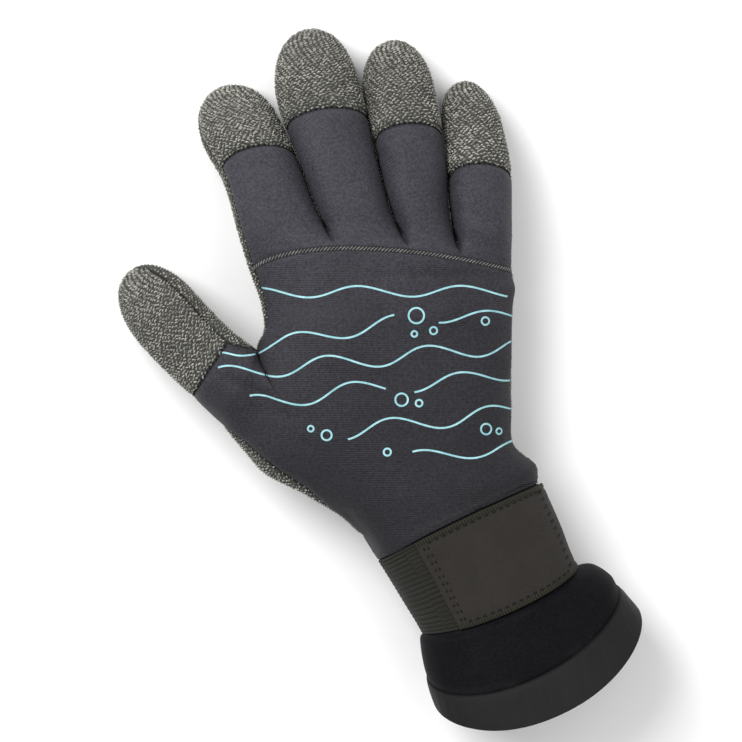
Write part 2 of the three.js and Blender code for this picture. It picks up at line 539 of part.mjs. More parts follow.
// A closed piece made of the grid's cells that belongs says it has: an outer and an inner face at two
// insets, with rims between them. Its edges draw back by the margin from the pieces next to it.
function panel(name, look, outside, inside, margin, belongs) {
  const corners = new Map();
  const faces = [];
  const keyOf = (digit, row, column, side) => {
    const corner = cornerOf(digit, row, column, side);
    const key = `${corner.digit} ${corner.row} ${corner.column} ${corner.side}`;
    if (!corners.has(key)) corners.set(key, corner);
    return key;
  };
  for (let digit = 0; digit <= 4; digit += 1) {
    const rows = digit === 0 ? THUMB_TIP_ROW : TIP_ROW;
    for (let row = 0; row < rows; row += 1) {
      for (let column = 0; column < COLUMNS; column += 1) {
        for (const side of ['back', 'palm']) {
          if (!belongs(digit, row, column, side)) continue;
          const loop = [[row, column], [row, column + 1], [row + 1, column + 1], [row + 1, column]]
            .map(([i, j]) => keyOf(digit, i, j, side));
          if (side === 'palm') loop.reverse();
          faces.push(loop.filter((key, index) => key !== loop[(index + 1) % loop.length]));
        }
      }
    }
  }
  const edges = new Map();
  for (const face of faces) {
    face.forEach((key, index) => edges.set(`${key}|${face[(index + 1) % face.length]}`, face));
  }
  const rims = [...edges.keys()].map((edge) => edge.split('|'))
    .filter(([from, to]) => !edges.has(`${to}|${from}`));
  const shells = [outside, inside].map((inset) => {
    const points = new Map();
    for (const [key, corner] of corners) {
      const angle = columnAngle(corner.digit, corner.row, corner.column, corner.side);
      points.set(key, new THREE.Vector3(...skinPoint(corner.digit, corner.row, angle, corner.side, inset)));
    }
    return drawBack(points, rims, edges, margin);
  });
  return solid(name, look, shells, faces, rims);
}

// Moves the points on the rims into the piece by the margin, square to both rim edges that meet there
function drawBack(points, rims, edges, margin) {
  const normals = new Map();
  for (const [from, to] of rims) {
    const face = edges.get(`${from}|${to}`).map((key) => points.get(key));
    const inward = new THREE.Vector3();
    face.forEach((point) => inward.addScaledVector(point, 1 / face.length));
    inward.sub(points.get(from));
    const along = points.get(to).clone().sub(points.get(from)).normalize();
    inward.addScaledVector(along, -inward.dot(along)).normalize();
    for (const key of [from, to]) normals.set(key, [...(normals.get(key) ?? []), inward]);
  }
  const moved = new Map(points);
  for (const [key, [first, second]] of normals) {
    const both = first.clone().add(second);
    const share = margin / Math.max(0.5, 1 + first.dot(second));
    moved.set(key, points.get(key).clone().addScaledVector(both, share));
  }
  return moved;
}

function solid(name, look, [outer, inner], faces, rims) {
  const keys = [...outer.keys()];
  const index = new Map(keys.map((key, place) => [key, place]));
  const positions = [outer, inner].flatMap((shell) => keys.flatMap((key) => shell.get(key).toArray()));
  const triangles = [];
  const fan = (loop) => {
    for (let corner = 2; corner < loop.length; corner += 1) {
      triangles.push(loop[0], loop[corner - 1], loop[corner]);
    }
  };
  for (const face of faces) {
    const loop = face.map((key) => index.get(key));
    fan(loop);
    fan(loop.map((place) => place + keys.length).reverse());
  }
  // Both panels at a seam split its rim along the same diagonal
  for (const [from, to] of rims) {
    const [a, b] = [index.get(from), index.get(to)];
    const loop = [b, a, a + keys.length, b + keys.length];
    fan(from < to ? loop : [...loop.slice(1), loop[0]]);
  }
  const geometry = new THREE.BufferGeometry();
  geometry.setAttribute('position', new THREE.Float32BufferAttribute(positions, 3));
  geometry.setIndex(triangles);
  geometry.computeVertexNormals();
  const mesh = new THREE.Mesh(geometry, new THREE.MeshStandardMaterial(look));
  mesh.name = name;
  return mesh;
}

const capRowOf = (digit) => (digit === 0 ? THUMB_CAP_ROW : CAP_ROW);
const bodyTopRow = (digit) => (digit === 0 ? THUMB_CAP_ROW : KNUCKLE_ROW);
const SEAM_MARGIN = SEAM_GAP / 2;

function handBody() {
  return panel('hand_body', NEOPRENE, 0, WALL, SEAM_MARGIN, (digit, row, column, side) => (
    row >= GAUNTLET_ROW && row < (side === 'back' ? bodyTopRow(digit) : PALM_START_ROW)));
}

// The flared cuff below the wrist, sewn on under the strap
function gauntlet() {
  return panel('gauntlet', NEOPRENE, 0, WALL, SEAM_MARGIN, (digit, row) => (
    row >= HEM_ROW && row < GAUNTLET_ROW));
}

function palmPanel() {
  return panel('palm_panel', TEXTURED, 0, WALL, SEAM_MARGIN, (digit, row, column, side) => (
    side === 'palm' && row >= PALM_START_ROW));
}

function fingerBack() {
  return panel('finger_back', NEOPRENE, 0, WALL, SEAM_MARGIN, (digit, row, column, side) => (
    side === 'back' && digit > 0 && row >= KNUCKLE_ROW && row < CAP_ROW));
}

function cap(name, capDigit) {
  return panel(name, TEXTURED, 0, WALL, SEAM_MARGIN, (digit, row, column, side) => (
    side === 'back' && digit === capDigit && row >= capRowOf(digit)));
}

function hemBand() {
  return panel('hem_band', HEM_CLOTH, -HEM_PROUD, WALL + HEM_PROUD, SEAM_MARGIN, (digit, row) => (
    row < HEM_ROW));
}

function wristStrap() {
  return panel('wrist_strap', ELASTIC, -SEAM_GAP - STRAP_THICKNESS, -SEAM_GAP, SEAM_MARGIN, (digit, row) => (
    row >= STRAP_LOW_ROW && row < STRAP_TOP_ROW));
}

function strapPatch() {
  const under = -2 * SEAM_GAP - STRAP_THICKNESS;
  const top = under - PATCH_THICKNESS;
  return panel('strap_patch', PATCH_CLOTH, top, under, SEAM_MARGIN, (digit, row, column, side) => (
    side === 'back' && row >= STRAP_LOW_ROW && row < STRAP_TOP_ROW
    && (digit > 1 || (digit === 1 && column >= PATCH_START_COLUMN))));
}

const glove = new THREE.Group();
glove.add(handBody(), palmPanel(), fingerBack(), cap('thumb_back', 0));
FINGERS.forEach((finger, place) => glove.add(cap(`tip_${finger.name}`, place + 1)));
glove.add(gauntlet(), hemBand(), wristStrap(), strapPatch());

// The origin is the middle of the glove's box, on the surface that it lies on
const box = new THREE.Box3().setFromObject(glove);
const centre = box.getCenter(new THREE.Vector3());
glove.position.set(-centre.x, -centre.y, -box.min.z);

export default glove;
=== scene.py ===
"""A right-hand diving glove, laid palm down: neoprene back and gauntlet, grip-knit palm and fingertips
with sewn seams, a ribbed elastic strap with a stitched webbing patch, and printed waves of thin lines."""

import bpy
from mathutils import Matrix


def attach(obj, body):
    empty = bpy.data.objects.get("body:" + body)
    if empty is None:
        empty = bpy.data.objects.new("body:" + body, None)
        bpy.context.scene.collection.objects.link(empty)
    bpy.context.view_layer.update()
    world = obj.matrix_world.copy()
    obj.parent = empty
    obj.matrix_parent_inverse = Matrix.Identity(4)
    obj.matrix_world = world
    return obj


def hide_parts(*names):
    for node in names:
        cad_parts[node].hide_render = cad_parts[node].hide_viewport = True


bl_info = {
    "name": "Diving Glove",
    "version": (1, 0, 0),
    "blender": (4, 5, 0),
    "location": "3D View > Sidebar > Diving Glove",
    "description": "Dresses the diving glove's frame in neoprene, grip knit, stitches, strap and print",
    "category": "Add Mesh",
}

import bpy
import numpy as np
from mathutils import Vector

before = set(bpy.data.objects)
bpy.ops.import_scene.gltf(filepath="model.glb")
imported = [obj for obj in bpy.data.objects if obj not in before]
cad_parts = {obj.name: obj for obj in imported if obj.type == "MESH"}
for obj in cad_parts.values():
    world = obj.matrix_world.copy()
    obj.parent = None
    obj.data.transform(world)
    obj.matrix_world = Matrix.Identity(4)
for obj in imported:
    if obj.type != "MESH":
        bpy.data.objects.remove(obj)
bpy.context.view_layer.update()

MM = 0.001
BODY = "root"

# The glove's cut, in millimetres and degrees, with +Y from cuff to fingertips, +Z from palm to back and the
# thumb at -X. Plan lengths start at the strap's upper edge.
WALL = 5.0
FINGER_WIDTHS = np.array([37.0, 29.0, 20.0, 19.0])
FINGER_REACHES = np.array([78.0, 99.0, 94.0, 78.0])
FINGER_CAPS = np.array([30.0, 36.0, 37.0, 36.0])
FINGER_THICKNESS = 30.0
FINGER_GAP = 0.8
WEB_DEPTH = 14.0
CAP_BOW = 6.0
THUMB_WIDTH = 33.0
THUMB_REACH = 69.0
THUMB_CAP = 54.0
THUMB_THICKNESS = 31.0
THUMB_ROOT_LEAN = 34.0
THUMB_TIP_LEAN = 20.0
THUMB_ROOT_SLANT = 13.0
THUMB_WEB = 31.5
PALM_LENGTH = 124.5
PALM_THICKNESS = 42.0
KNUCKLE_FALL = 30.0
KNUCKLE_ARCH = 10.2
WRIST_WIDTH = 70.0
WRIST_THICKNESS = 45.0
CUFF_WIDTH = 94.0
CUFF_THICKNESS = 58.0
CUFF_LENGTH = 20.0
CUFF_BOW = 9.0
HEM_WIDTH = 12.0
HEM_PROUD = 0.5
STRAP_WIDTH = 38.0
STRAP_THICKNESS = 1.5
PATCH_THICKNESS = 1.2
LAY_GAP = 0.3
PALM_LIFT = 18.0
LITTLE_SIDE_DROP = 8.0
THUMB_SIDE_DROP = 9.0
FLOOR_PRESS = 1.5
FINGER_ROUNDNESS = 2.55
HAND_ROUNDNESS = 2.4
TIP_ROUNDNESS = 2.2
TIP_SHARE = 0.85
CROTCH_PULL = 1.2
CROTCH_ANGLE = 60.0
UNDER_TILT_SHARE = 0.45
THUMB_TAPER = 0.95
DROOP_POWER = 1.6
DROOP_SCAN = np.arange(0.4, 0.999, 0.02)
WEB_CROWDING = 1.5
ARCH_POWER = 0.6
INDEX_STRIP_ANGLE = 22.0
THUMB_STRIP_ANGLE = 42.0

KNUCKLE_WIDTH = FINGER_WIDTHS.sum()
LITTLE_SIDE_LENGTH = PALM_LENGTH - KNUCKLE_FALL
LINE_SHARES = np.concatenate([[0.0], np.cumsum(FINGER_WIDTHS) / KNUCKLE_WIDTH])
THUMB_COLUMN_SHARE = 0.13


def chart(columns, *rows):
    """A small table with named columns, as a dict of arrays."""
    values = np.array(rows, float)
    return {name: values[:, place] for place, name in enumerate(columns.split())}


# Sections from the hem to the knuckles. x is a share of the cuff's, wrist's or knuckles' width, y a share of
# the zone's length on the thumb's side (left) and the little finger's (right), top and bottom shares of half
# the zone's thickness, clear a share of the palm's lift, tilt the lean of the back in degrees, bow a share
# of the cuff's bow, and turn_up how far the palm fabric comes over the outer edge in degrees.
ZONES = ["hem"] + ["cuff"] * 3 + ["wrist"] * 3 + ["palm"] * 6 + ["web"] * 4
SECTIONS = chart(
    "left_x right_x left_y right_y top bottom clear tilt bow turn_up",
    (-0.181, 0.809, 0.83, 1, 1, 1, 0, 27, 1, 0),
    (-0.181, 0.755, 1.05, 0.4, 0.98, 0.93, 0, 20, 0.78, 0),
    (-0.176, 0.734, 0.6, 0.1, 0.96, 0.89, 0.06, 14, 0.55, 0),
    (-0.152, 0.67, 0.275, -0.15, 0.89, 0.84, 0.15, 9, 0.39, 0),
    (-0.174, 0.774, 1.04, 0.842, 1.09, 0.95, 0.35, 6, 0.28, 0),
    (-0.231, 0.739, 0.592, 0.342, 1.06, 0.93, 0.5, 2, 0, 0),
    (-0.298, 0.712, 0.145, -0.145, 1.09, 0.93, 0.55, 0, -0.17, 0),
    (-0.219, 0.487, 0.005, 0.095, 1.13, 1.08, 0.52, 0, -0.1, 0),
    (-0.25, 0.5, 0.055, 0.145, 1.18, 1.09, 0.52, 0, 0, 0),
    (-0.314, 0.438, 0.145, 0.265, 1.12, 1.05, 0.6, 0, 0, 0),
    (-0.42, 0.481, 0.26, 0.434, 1.07, 1, 0.7, 0, 0, 40),
    (-0.52, 0.524, 0.35, 0.593, 1.05, 0.95, 0.8, 0, 0, 50),
    (-0.57, 0.562, 0.45, 0.73, 1.05, 0.9, 0.9, 0, 0, 35),
    (-0.429, 0.59, 1, 0.82, 1.02, 0.88, 1, 0, 0, 0),
    (-0.376, 0.61, 0.762, 0.884, 1, 0.86, 1, 0, 0, 22),
    (-0.357, 0.629, 0.397, 0.942, 0.98, 0.84, 1.02, 0, 0, 32),
    (-0.362, 0.638, 0, 1, 0.95, 0.81, 1.05, 0, 0, 0),
)

# How the hand spreads into the thumb, from the palm's seam to the knuckles
SPREADS = chart(
    "web_x web_y to_root puff split arch little thumb",
    (0.097, 0.109, 0, 0, 0, 0, 0.05, 0),
    (0.29, 0.283, 0, 0, 0, 0.04, 0.25, 0.1),
    (0.58, 0.478, 0.27, 0.03, 0, 0.12, 0.4, 0.3),
    (0.82, 0.663, 0.56, 0.09, 0, 0.25, 0.6, 0.6),
    (0.95, 0.848, 0.79, 0.05, 0.15, 0.4, 0.75, 0.85),
    (1, 1, 1, 0, 1, 0.55, 0.85, 1),
    (1, 1, 1, 0, 1, 0.7, 0.9, 1),
    (1, 1, 1, 0, 1, 0.85, 0.95, 1),
    (1, 1, 1, 0, 1, 1, 1, 1),
)

# Sideways moves of the lines between the fingers, as shares of the knuckles' width, at even shares of the
# middle finger's reach, and the digits' half thickness from web to tip
FINGER_LINES = chart(
    "line1 line2 line3 line4 line5",
    (0, 0, 0, 0, 0),
    (0, -0.029, -0.021, 0.01, 0.057),
    (0.002, -0.041, -0.014, 0.057, 0.112),
    (-0.041, -0.058, 0.002, 0.088, 0.135),
    (-0.086, -0.047, 0.014, 0.11, 0.13),
    (-0.124, -0.038, 0.03, 0.125, 0.125),
)
DIGIT_SECTIONS = chart("back front", (1.14, 1.08), (1.05, 0.98), (1.03, 0.95), (0.98, 0.95), (0.95, 0.92))

# Rows of the cut where pieces end
HEM_ROW = 1
STRAP_LOW_ROW = 4
GAUNTLET_ROW = 5
STRAP_TOP_ROW = 6
WRIST_ROW = 7
PALM_START_ROW = 8
HEEL_ROW = 9
THUMB_ROW = 13
KNUCKLE_ROW = 16
WEB_ROW = 19
CAP_ROW = 24
TIP_ROW = 30
THUMB_CAP_ROW = 16
THUMB_TIP_ROW = 23

# Soft dents in the back: centre row and half length, reach across the fingers, depth as a share of the wall
DENTS = chart("row rows start end depth", (14.4, 0.8, 0.4, 1, 0.4), (9.5, 1.2, 0.2, 0.8, 0.2))


def mix(a, b, t):
    return a + (b - a) * t


def clamp01(value):
    return np.clip(value, 0.0, 1.0)


def ramp(value, start, end):
    """Smooth step from 0 at start to 1 at end."""
    t = clamp01((value - start) / (end - start))
    return t * t * (3 - 2 * t)


def superround(u, power):
    """Height of a superellipse at share u of its width: (1 - |1 - 2u|^p)^(1/p)."""
    return np.maximum(1 - np.abs(1 - 2 * u) ** power, 0) ** (1 / power)


def smooth(values, place):
    """Catmull-Rom curve through evenly spaced values, read at fractional places."""
    values = np.asarray(values, float)
    last = len(values) - 1
    place = np.clip(place, 0, last)
    first = np.minimum(place.astype(int), last - 1)
    t = place - first
    p0, p1, p2, p3 = (values[np.clip(first + step, 0, last)] for step in (-1, 0, 1, 2))
    return 0.5 * (2 * p1 + (p2 - p0) * t + (2 * p0 - 5 * p1 + 4 * p2 - p3) * t**2
                  + (3 * p1 - p0 - 3 * p2 + p3) * t**3)


def cosd(angle):
    return np.cos(np.radians(angle))


def sind(angle):
    return np.sin(np.radians(angle))


def knuckle_arch(s):
    """Rise of the knuckle line over its chord: s^p (1 - s), scaled to the arch's height at its peak."""
    peak_at = ARCH_POWER / (1 + ARCH_POWER)
    peak = peak_at**ARCH_POWER * (1 - peak_at)
    return KNUCKLE_ARCH * np.maximum(s, 0) ** ARCH_POWER * (1 - s) / peak


def across_thumb(t):
    """Unit vector across the thumb, from its outer to its inner edge, at a share of its reach."""
    lean = mix(THUMB_ROOT_LEAN, THUMB_TIP_LEAN, t) + THUMB_ROOT_SLANT * (1 - t) ** 2
    return cosd(lean), sind(lean)


def hand_rows():
    """The hand's outline and heights at each section, worked out from the table's shares."""
    width = {"hem": CUFF_WIDTH, "cuff": CUFF_WIDTH, "wrist": WRIST_WIDTH, "palm": KNUCKLE_WIDTH,
             "web": KNUCKLE_WIDTH}
    thick = {"hem": CUFF_THICKNESS, "cuff": CUFF_THICKNESS, "wrist": WRIST_THICKNESS,
             "palm": PALM_THICKNESS, "web": PALM_THICKNESS}
    start = {"cuff": (-STRAP_WIDTH, -STRAP_WIDTH), "wrist": (0, 0), "palm": (0, 0), "web": (PALM_LENGTH, 0)}
    length = {"hem": (-HEM_WIDTH, -HEM_WIDTH), "cuff": (-CUFF_LENGTH, -CUFF_LENGTH),
              "wrist": (-STRAP_WIDTH, -STRAP_WIDTH), "palm": (PALM_LENGTH, LITTLE_SIDE_LENGTH),
              "web": (-THUMB_WEB, LITTLE_SIDE_LENGTH)}
    hem_start = [start["cuff"][0] + SECTIONS["left_y"][1] * length["cuff"][0],
                 start["cuff"][1] + SECTIONS["right_y"][1] * length["cuff"][1]]
    start["hem"] = hem_start
    widths = np.array([width[zone] for zone in ZONES])
    halves = np.array([thick[zone] for zone in ZONES]) / 2
    starts = np.array([start[zone] for zone in ZONES])
    lengths = np.array([length[zone] for zone in ZONES])
    rows = {
        "left_x": SECTIONS["left_x"] * widths, "right_x": SECTIONS["right_x"] * widths,
        "left_y": starts[:, 0] + SECTIONS["left_y"] * lengths[:, 0],
        "right_y": starts[:, 1] + SECTIONS["right_y"] * lengths[:, 1],
        "top": SECTIONS["top"] * halves, "bottom": SECTIONS["bottom"] * halves,
        "tilt": SECTIONS["tilt"], "bow": SECTIONS["bow"] * CUFF_BOW,
    }
    rows["seam"] = rows["bottom"] + SECTIONS["clear"] * PALM_LIFT - FLOOR_PRESS
    for name, values in SPREADS.items():
        rows[name] = np.concatenate([np.zeros(PALM_START_ROW), values])
    add_thumb_lines(rows)
    return rows


def add_thumb_lines(rows):
    """The line beside the thumb (web), the outer edge and how the inner face stays back there."""
    hand = np.arange(KNUCKLE_ROW + 1)
    web = np.stack([rows["left_x"][THUMB_ROW], rows["left_y"][THUMB_ROW]])
    left = np.stack([rows["left_x"], rows["left_y"]], axis=1)
    right = np.stack([rows["right_x"], rows["right_y"]], axis=1)
    beside = mix(left, right, THUMB_COLUMN_SHARE)
    shares = np.stack([rows["web_x"], rows["web_y"]], axis=1)
    line = np.where((hand < PALM_START_ROW)[:, None], beside, mix(beside[WRIST_ROW], web, shares))
    line = np.where((hand > THUMB_ROW)[:, None], left, line)
    root = web - THUMB_WIDTH / cosd(THUMB_ROOT_SLANT) * np.array(across_thumb(0.0))
    way = root - left[HEEL_ROW]
    outer = mix(left[HEEL_ROW], root, rows["to_root"][:, None])
    outer = outer + rows["puff"][:, None] * np.array([-way[1], way[0]])
    outer = np.where((hand <= HEEL_ROW)[:, None], left, outer)
    rows["line_x"], rows["line_y"] = line.T
    rows["outer_x"], rows["outer_y"] = outer.T
    rows["share"] = (line[:, 0] - outer[:, 0]) / (right[:, 0] - outer[:, 0])
    rows["share"][THUMB_ROW + 1:] = rows["share"][THUMB_ROW]
    past = hand > THUMB_ROW
    rows["pull_x"] = np.where(past, 1.0, CROTCH_PULL * cosd(CROTCH_ANGLE) * rows["split"])
    rows["pull_y"] = np.where(past, 0.0, -CROTCH_PULL * sind(CROTCH_ANGLE) * rows["split"])


HAND = hand_rows()
WEB_POINT = np.array([HAND["line_x"][THUMB_ROW], HAND["line_y"][THUMB_ROW]])
THUMB_ROOT_WIDTH = THUMB_WIDTH / cosd(THUMB_ROOT_SLANT)


def digit_height(digit, t, back):
    """Half thickness of a digit on its back or front, from web (0) to tip (1)."""
    thickness = THUMB_THICKNESS if digit == 0 else FINGER_THICKNESS
    place = np.asarray(t, float) * (len(DIGIT_SECTIONS["back"]) - 1)
    share = np.where(back, smooth(DIGIT_SECTIONS["back"], place), smooth(DIGIT_SECTIONS["front"], place))
    return share * thickness / 2


def tip_rounding(distance, width):
    """Share of the full section left near a tip: a superellipse over TIP_SHARE of the width."""
    ahead = np.clip(1 - distance / (TIP_SHARE * width), 0, 1)
    return (1 - ahead**TIP_ROUNDNESS) ** (1 / TIP_ROUNDNESS)


def droop(start_seam, digit, width, reach):
    """How far a digit's tip sinks so that its front just meets the surface."""
    least = np.full(np.shape(width), np.inf)
    for t in DROOP_SCAN:
        lowest = digit_height(digit, t, False) * tip_rounding((1 - t) * reach, width)
        least = np.minimum(least, (start_seam - lowest + FLOOR_PRESS) / t**DROOP_POWER)
    return least


def finger_line(line, distance):
    """Sideways place of a line between fingers (1 to 5) at a distance past the knuckles."""
    start = mix(HAND["left_x"][KNUCKLE_ROW], HAND["right_x"][KNUCKLE_ROW], LINE_SHARES[line - 1])
    moves = FINGER_LINES[f"line{line}"]
    place = np.asarray(distance, float) / FINGER_REACHES[1] * (len(moves) - 1)
    return start + smooth(moves, place) * KNUCKLE_WIDTH


def knuckle_y(s):
    return mix(HAND["left_y"][KNUCKLE_ROW], HAND["right_y"][KNUCKLE_ROW], s) + knuckle_arch(s)


def risen(seam, height, back, inset):
    """The seam's height plus the section's on the back, or minus it in front, at least the inset and 0."""
    return np.maximum(np.maximum(seam + np.where(back, height, -height), inset), 0)


def hand_point(digit, row, u, back, inset):
    """A point of the hand between hem and webs, drawn in from the outer face by the inset."""
    table_row = np.minimum(row, KNUCKLE_ROW)
    at = {name: smooth(values, table_row) for name, values in HAND.items()}
    web_split = ramp(row, KNUCKLE_ROW, WEB_ROW)
    thumb_split = np.where(row >= THUMB_ROW, 1.0, clamp01(at["split"]))
    whole = np.where(back, at["top"], at["bottom"]) - inset
    if digit == 0:
        length = np.hypot(at["line_x"] - at["outer_x"], at["line_y"] - at["outer_y"])
        inner_x, inner_y = at["line_x"] + inset * at["pull_x"], at["line_y"] + inset * at["pull_y"]
        x = mix(mix(at["outer_x"], at["line_x"], inset / length), inner_x, u)
        y = mix(mix(at["outer_y"], at["line_y"], inset / length), inner_y, u)
        seam = at["seam"] - THUMB_SIDE_DROP * at["thumb"] * (1 - u)
        across = u * at["share"]
        own = (digit_height(0, 0.0, back) - inset) * superround(u, FINGER_ROUNDNESS)
        height = mix(whole * superround(across, HAND_ROUNDNESS), own, thumb_split)
    else:
        s = mix(LINE_SHARES[digit - 1], LINE_SHARES[digit], u)
        past = WEB_DEPTH * (row - table_row) / (WEB_ROW - KNUCKLE_ROW)
        shifts = [finger_line(line, past) - finger_line(line, 0.0) for line in (digit, digit + 1)]
        pull = CROTCH_PULL * inset * web_split
        x = mix(at["line_x"] + inset * at["pull_x"], at["right_x"] - inset, s) + mix(*shifts, u)
        y = mix(at["line_y"] + inset * at["pull_y"], at["right_y"], s) + at["arch"] * knuckle_arch(s) + past
        y = y - mix(0 if digit == 1 else pull, 0 if digit == 4 else pull, u)
        seam = at["seam"] - LITTLE_SIDE_DROP * at["little"] * s * s
        across = mix(at["share"], 1, s)
        height = mix(whole * superround(across, HAND_ROUNDNESS), whole * superround(s, HAND_ROUNDNESS),
                     thumb_split)
        own = (digit_height(digit, 0.0, back) - inset) * superround(u, FINGER_ROUNDNESS)
        height = mix(height, own, web_split) - np.where(back, dent_depth(row, s) * (1 - web_split), 0)
    z = risen(seam, height, back, inset)
    lean = np.tan(np.radians(at["tilt"] * np.where(back, 1, UNDER_TILT_SHARE))) * (z - seam)
    bow = at["bow"] * 4 * across * (1 - across)
    return np.stack([x, y - lean - bow, z], axis=-1)


def dent_depth(row, s):
    """Depth of the soft dents: a bell along the rows times a sine squared across the fingers."""
    depth = 0.0
    for place in range(len(DENTS["row"])):
        dent = {name: values[place] for name, values in DENTS.items()}
        along = np.exp(-(((row - dent["row"]) / dent["rows"]) ** 2))
        across = np.sin(np.pi * clamp01((s - dent["start"]) / (dent["end"] - dent["start"]))) ** 2
        depth = depth + dent["depth"] * WALL * along * across
    return depth


def digit_share(row, cap_share, web_row, cap_row, tip_row):
    """Share of the way from web to tip at a row, with close rows at the web and round the tip."""
    near = cap_share * (np.maximum(row - web_row, 0) / (cap_row - web_row)) ** WEB_CROWDING
    far = mix(cap_share, 1, sind(clamp01((row - cap_row) / (tip_row - cap_row)) * 90))
    return np.where(row <= cap_row, near, far)


def finger_point(digit, row, u, back, inset):
    """A point of a finger past its webs. The inner face stays back by the inset."""
    reach, cap = FINGER_REACHES[digit - 1], FINGER_CAPS[digit - 1]
    middle = mix(LINE_SHARES[digit - 1], LINE_SHARES[digit], 0.5)
    tip_y = knuckle_y(middle) + reach
    length = reach - WEB_DEPTH
    cap_share = 1 - (cap + CAP_BOW) / length
    t = digit_share(row, cap_share, WEB_ROW, CAP_ROW, TIP_ROW)
    past = clamp01((t - cap_share) / (1 - cap_share))
    s = mix(LINE_SHARES[digit - 1], LINE_SHARES[digit], u)
    sides = []
    full_width = 0.0
    for line, sign, free in ((digit, 1, digit == 1), (digit + 1, -1, digit == 4)):
        start = knuckle_y(LINE_SHARES[line - 1])
        past_knuckles = mix(start + WEB_DEPTH, tip_y, t) - start
        opening = np.ones_like(t) if free else clamp01(row - WEB_ROW)
        gap = 0.0 if free else FINGER_GAP / 2
        sides.append(finger_line(line, past_knuckles) + sign * (inset + gap) * opening)
        full_width = full_width - sign * sides[-1] + inset * opening
    left, right = sides
    rounding = tip_rounding((1 - t) * length, full_width)
    x = (left + right) / 2 + (u - 0.5) * (right - left) * rounding
    fade = 1 - clamp01(t / cap_share)
    pull = CROTCH_PULL * inset * fade
    bow = CAP_BOW * np.sin(np.pi * np.minimum(1, t / (2 * cap_share))) * (1 - past)
    y = mix(knuckle_y(s) + WEB_DEPTH, tip_y, t)
    y = y - mix(0 if digit == 1 else pull, 0 if digit == 4 else pull, u)
    y = y - inset * past + bow * np.sqrt(np.maximum(4 * u * (1 - u), 0))
    drop = LITTLE_SIDE_DROP * HAND["little"][KNUCKLE_ROW]
    seams, start_seam = (HAND["seam"][KNUCKLE_ROW] - drop * share**2 for share in (s, middle))
    seam = mix(seams, start_seam, t) - droop(start_seam, digit, full_width, length) * t**DROOP_POWER
    height = (digit_height(digit, t, back) - inset) * rounding * superround(u, FINGER_ROUNDNESS)
    z = risen(seam, height, back, inset)
    return np.stack([x, y, z], axis=-1)


def thumb_point(row, u, back, inset):
    """A point of the thumb past its web, along an arc whose lean goes from the root's to the tip's."""
    cap_share = 1 - THUMB_CAP / THUMB_REACH
    t = digit_share(row, cap_share, THUMB_ROW, THUMB_CAP_ROW, THUMB_TIP_ROW)
    past = clamp01((t - cap_share) / (1 - cap_share))
    turn = np.radians(THUMB_ROOT_LEAN - THUMB_TIP_LEAN)
    lean = mix(THUMB_ROOT_LEAN, THUMB_TIP_LEAN, t)
    root = WEB_POINT - THUMB_ROOT_WIDTH / 2 * np.array(across_thumb(0.0))
    axis_x = root[0] - THUMB_REACH * (cosd(lean) - cosd(THUMB_ROOT_LEAN)) / turn
    axis_y = root[1] + THUMB_REACH * (sind(THUMB_ROOT_LEAN) - sind(lean)) / turn
    width = mix(THUMB_ROOT_WIDTH, THUMB_WIDTH * THUMB_TAPER, clamp01(t / cap_share))
    rounding = tip_rounding((1 - t) * THUMB_REACH, width)
    low, high = -width / 2 + inset, width / 2 - inset * clamp01(row - THUMB_ROW)
    across = (low + high) / 2 + (u - 0.5) * (high - low) * rounding
    normal_x, normal_y = across_thumb(t)
    pull = CROTCH_PULL * inset * (1 - clamp01(t / cap_share)) * u
    x = axis_x + across * normal_x + pull * cosd(CROTCH_ANGLE) + inset * past * sind(lean)
    y = axis_y + across * normal_y - pull * sind(CROTCH_ANGLE) - inset * past * cosd(lean)
    start_seam = HAND["seam"][THUMB_ROW] - THUMB_SIDE_DROP / 2
    seam = start_seam + THUMB_SIDE_DROP * (u - 0.5) * (1 - t)
    seam = seam - droop(start_seam, 0, width, THUMB_REACH) * t**DROOP_POWER
    height = (digit_height(0, t, back) - inset) * rounding * superround(u, FINGER_ROUNDNESS)
    z = risen(seam, height, back, inset)
    return np.stack([x, y, z], axis=-1)


def skin(digit, row, angle, inset=0.0, from_back=True):
    """Points of the glove's skin. Digit 0 is the thumb, 1 the index and 4 the little finger. The angle runs
    over the back from 0 on the thumb's side to 180, and under the palm with a minus sign; past -180 it
    comes up over the back again. from_back says which side an angle of 0 belongs to."""
    row, angle, inset = np.broadcast_arrays(*(np.asarray(value, float) for value in (row, angle, inset)))
    u = (1 - cosd(angle)) / 2
    back = (angle > 0) | (angle < -180) | ((angle == 0) & from_back)
    hand = hand_point(digit, row, u, back, inset)
    if digit == 0:
        return np.where((row > THUMB_ROW)[..., None], thumb_point(row, u, back, inset), hand)
    return np.where((row > WEB_ROW)[..., None], finger_point(digit, row, u, back, inset), hand)


COLUMNS = 6
STEP = 0.03
ORIGIN = np.array([7.4266, -65.3035, 0.0035])

# Rows of fine detail for each row of the cut, and columns for each column, by digit
FINE_ROWS = [10] * 4 + [12] * 2 + [11] * 10 + [6] * 3 + [8] * 11
THUMB_FINE_ROWS = FINE_ROWS[:13] + [6] * 3 + [9] * 7
FINE_COLUMNS = [7, 7, 6, 5, 5]
EDGE_STEPS = np.array([0.02, 0.045, 0.08, 0.13])


# How far the palm fabric comes over the index finger's outer edge
INDEX_STRIP = chart("row angle", (THUMB_ROW, 0), (THUMB_ROW + 1, 16), (THUMB_ROW + 2, 21),
                    (KNUCKLE_ROW, INDEX_STRIP_ANGLE), (CAP_ROW, INDEX_STRIP_ANGLE), (TIP_ROW, 0))


def unit(vectors):
    return vectors / np.maximum(np.linalg.norm(vectors, axis=-1, keepdims=True), 1e-9)


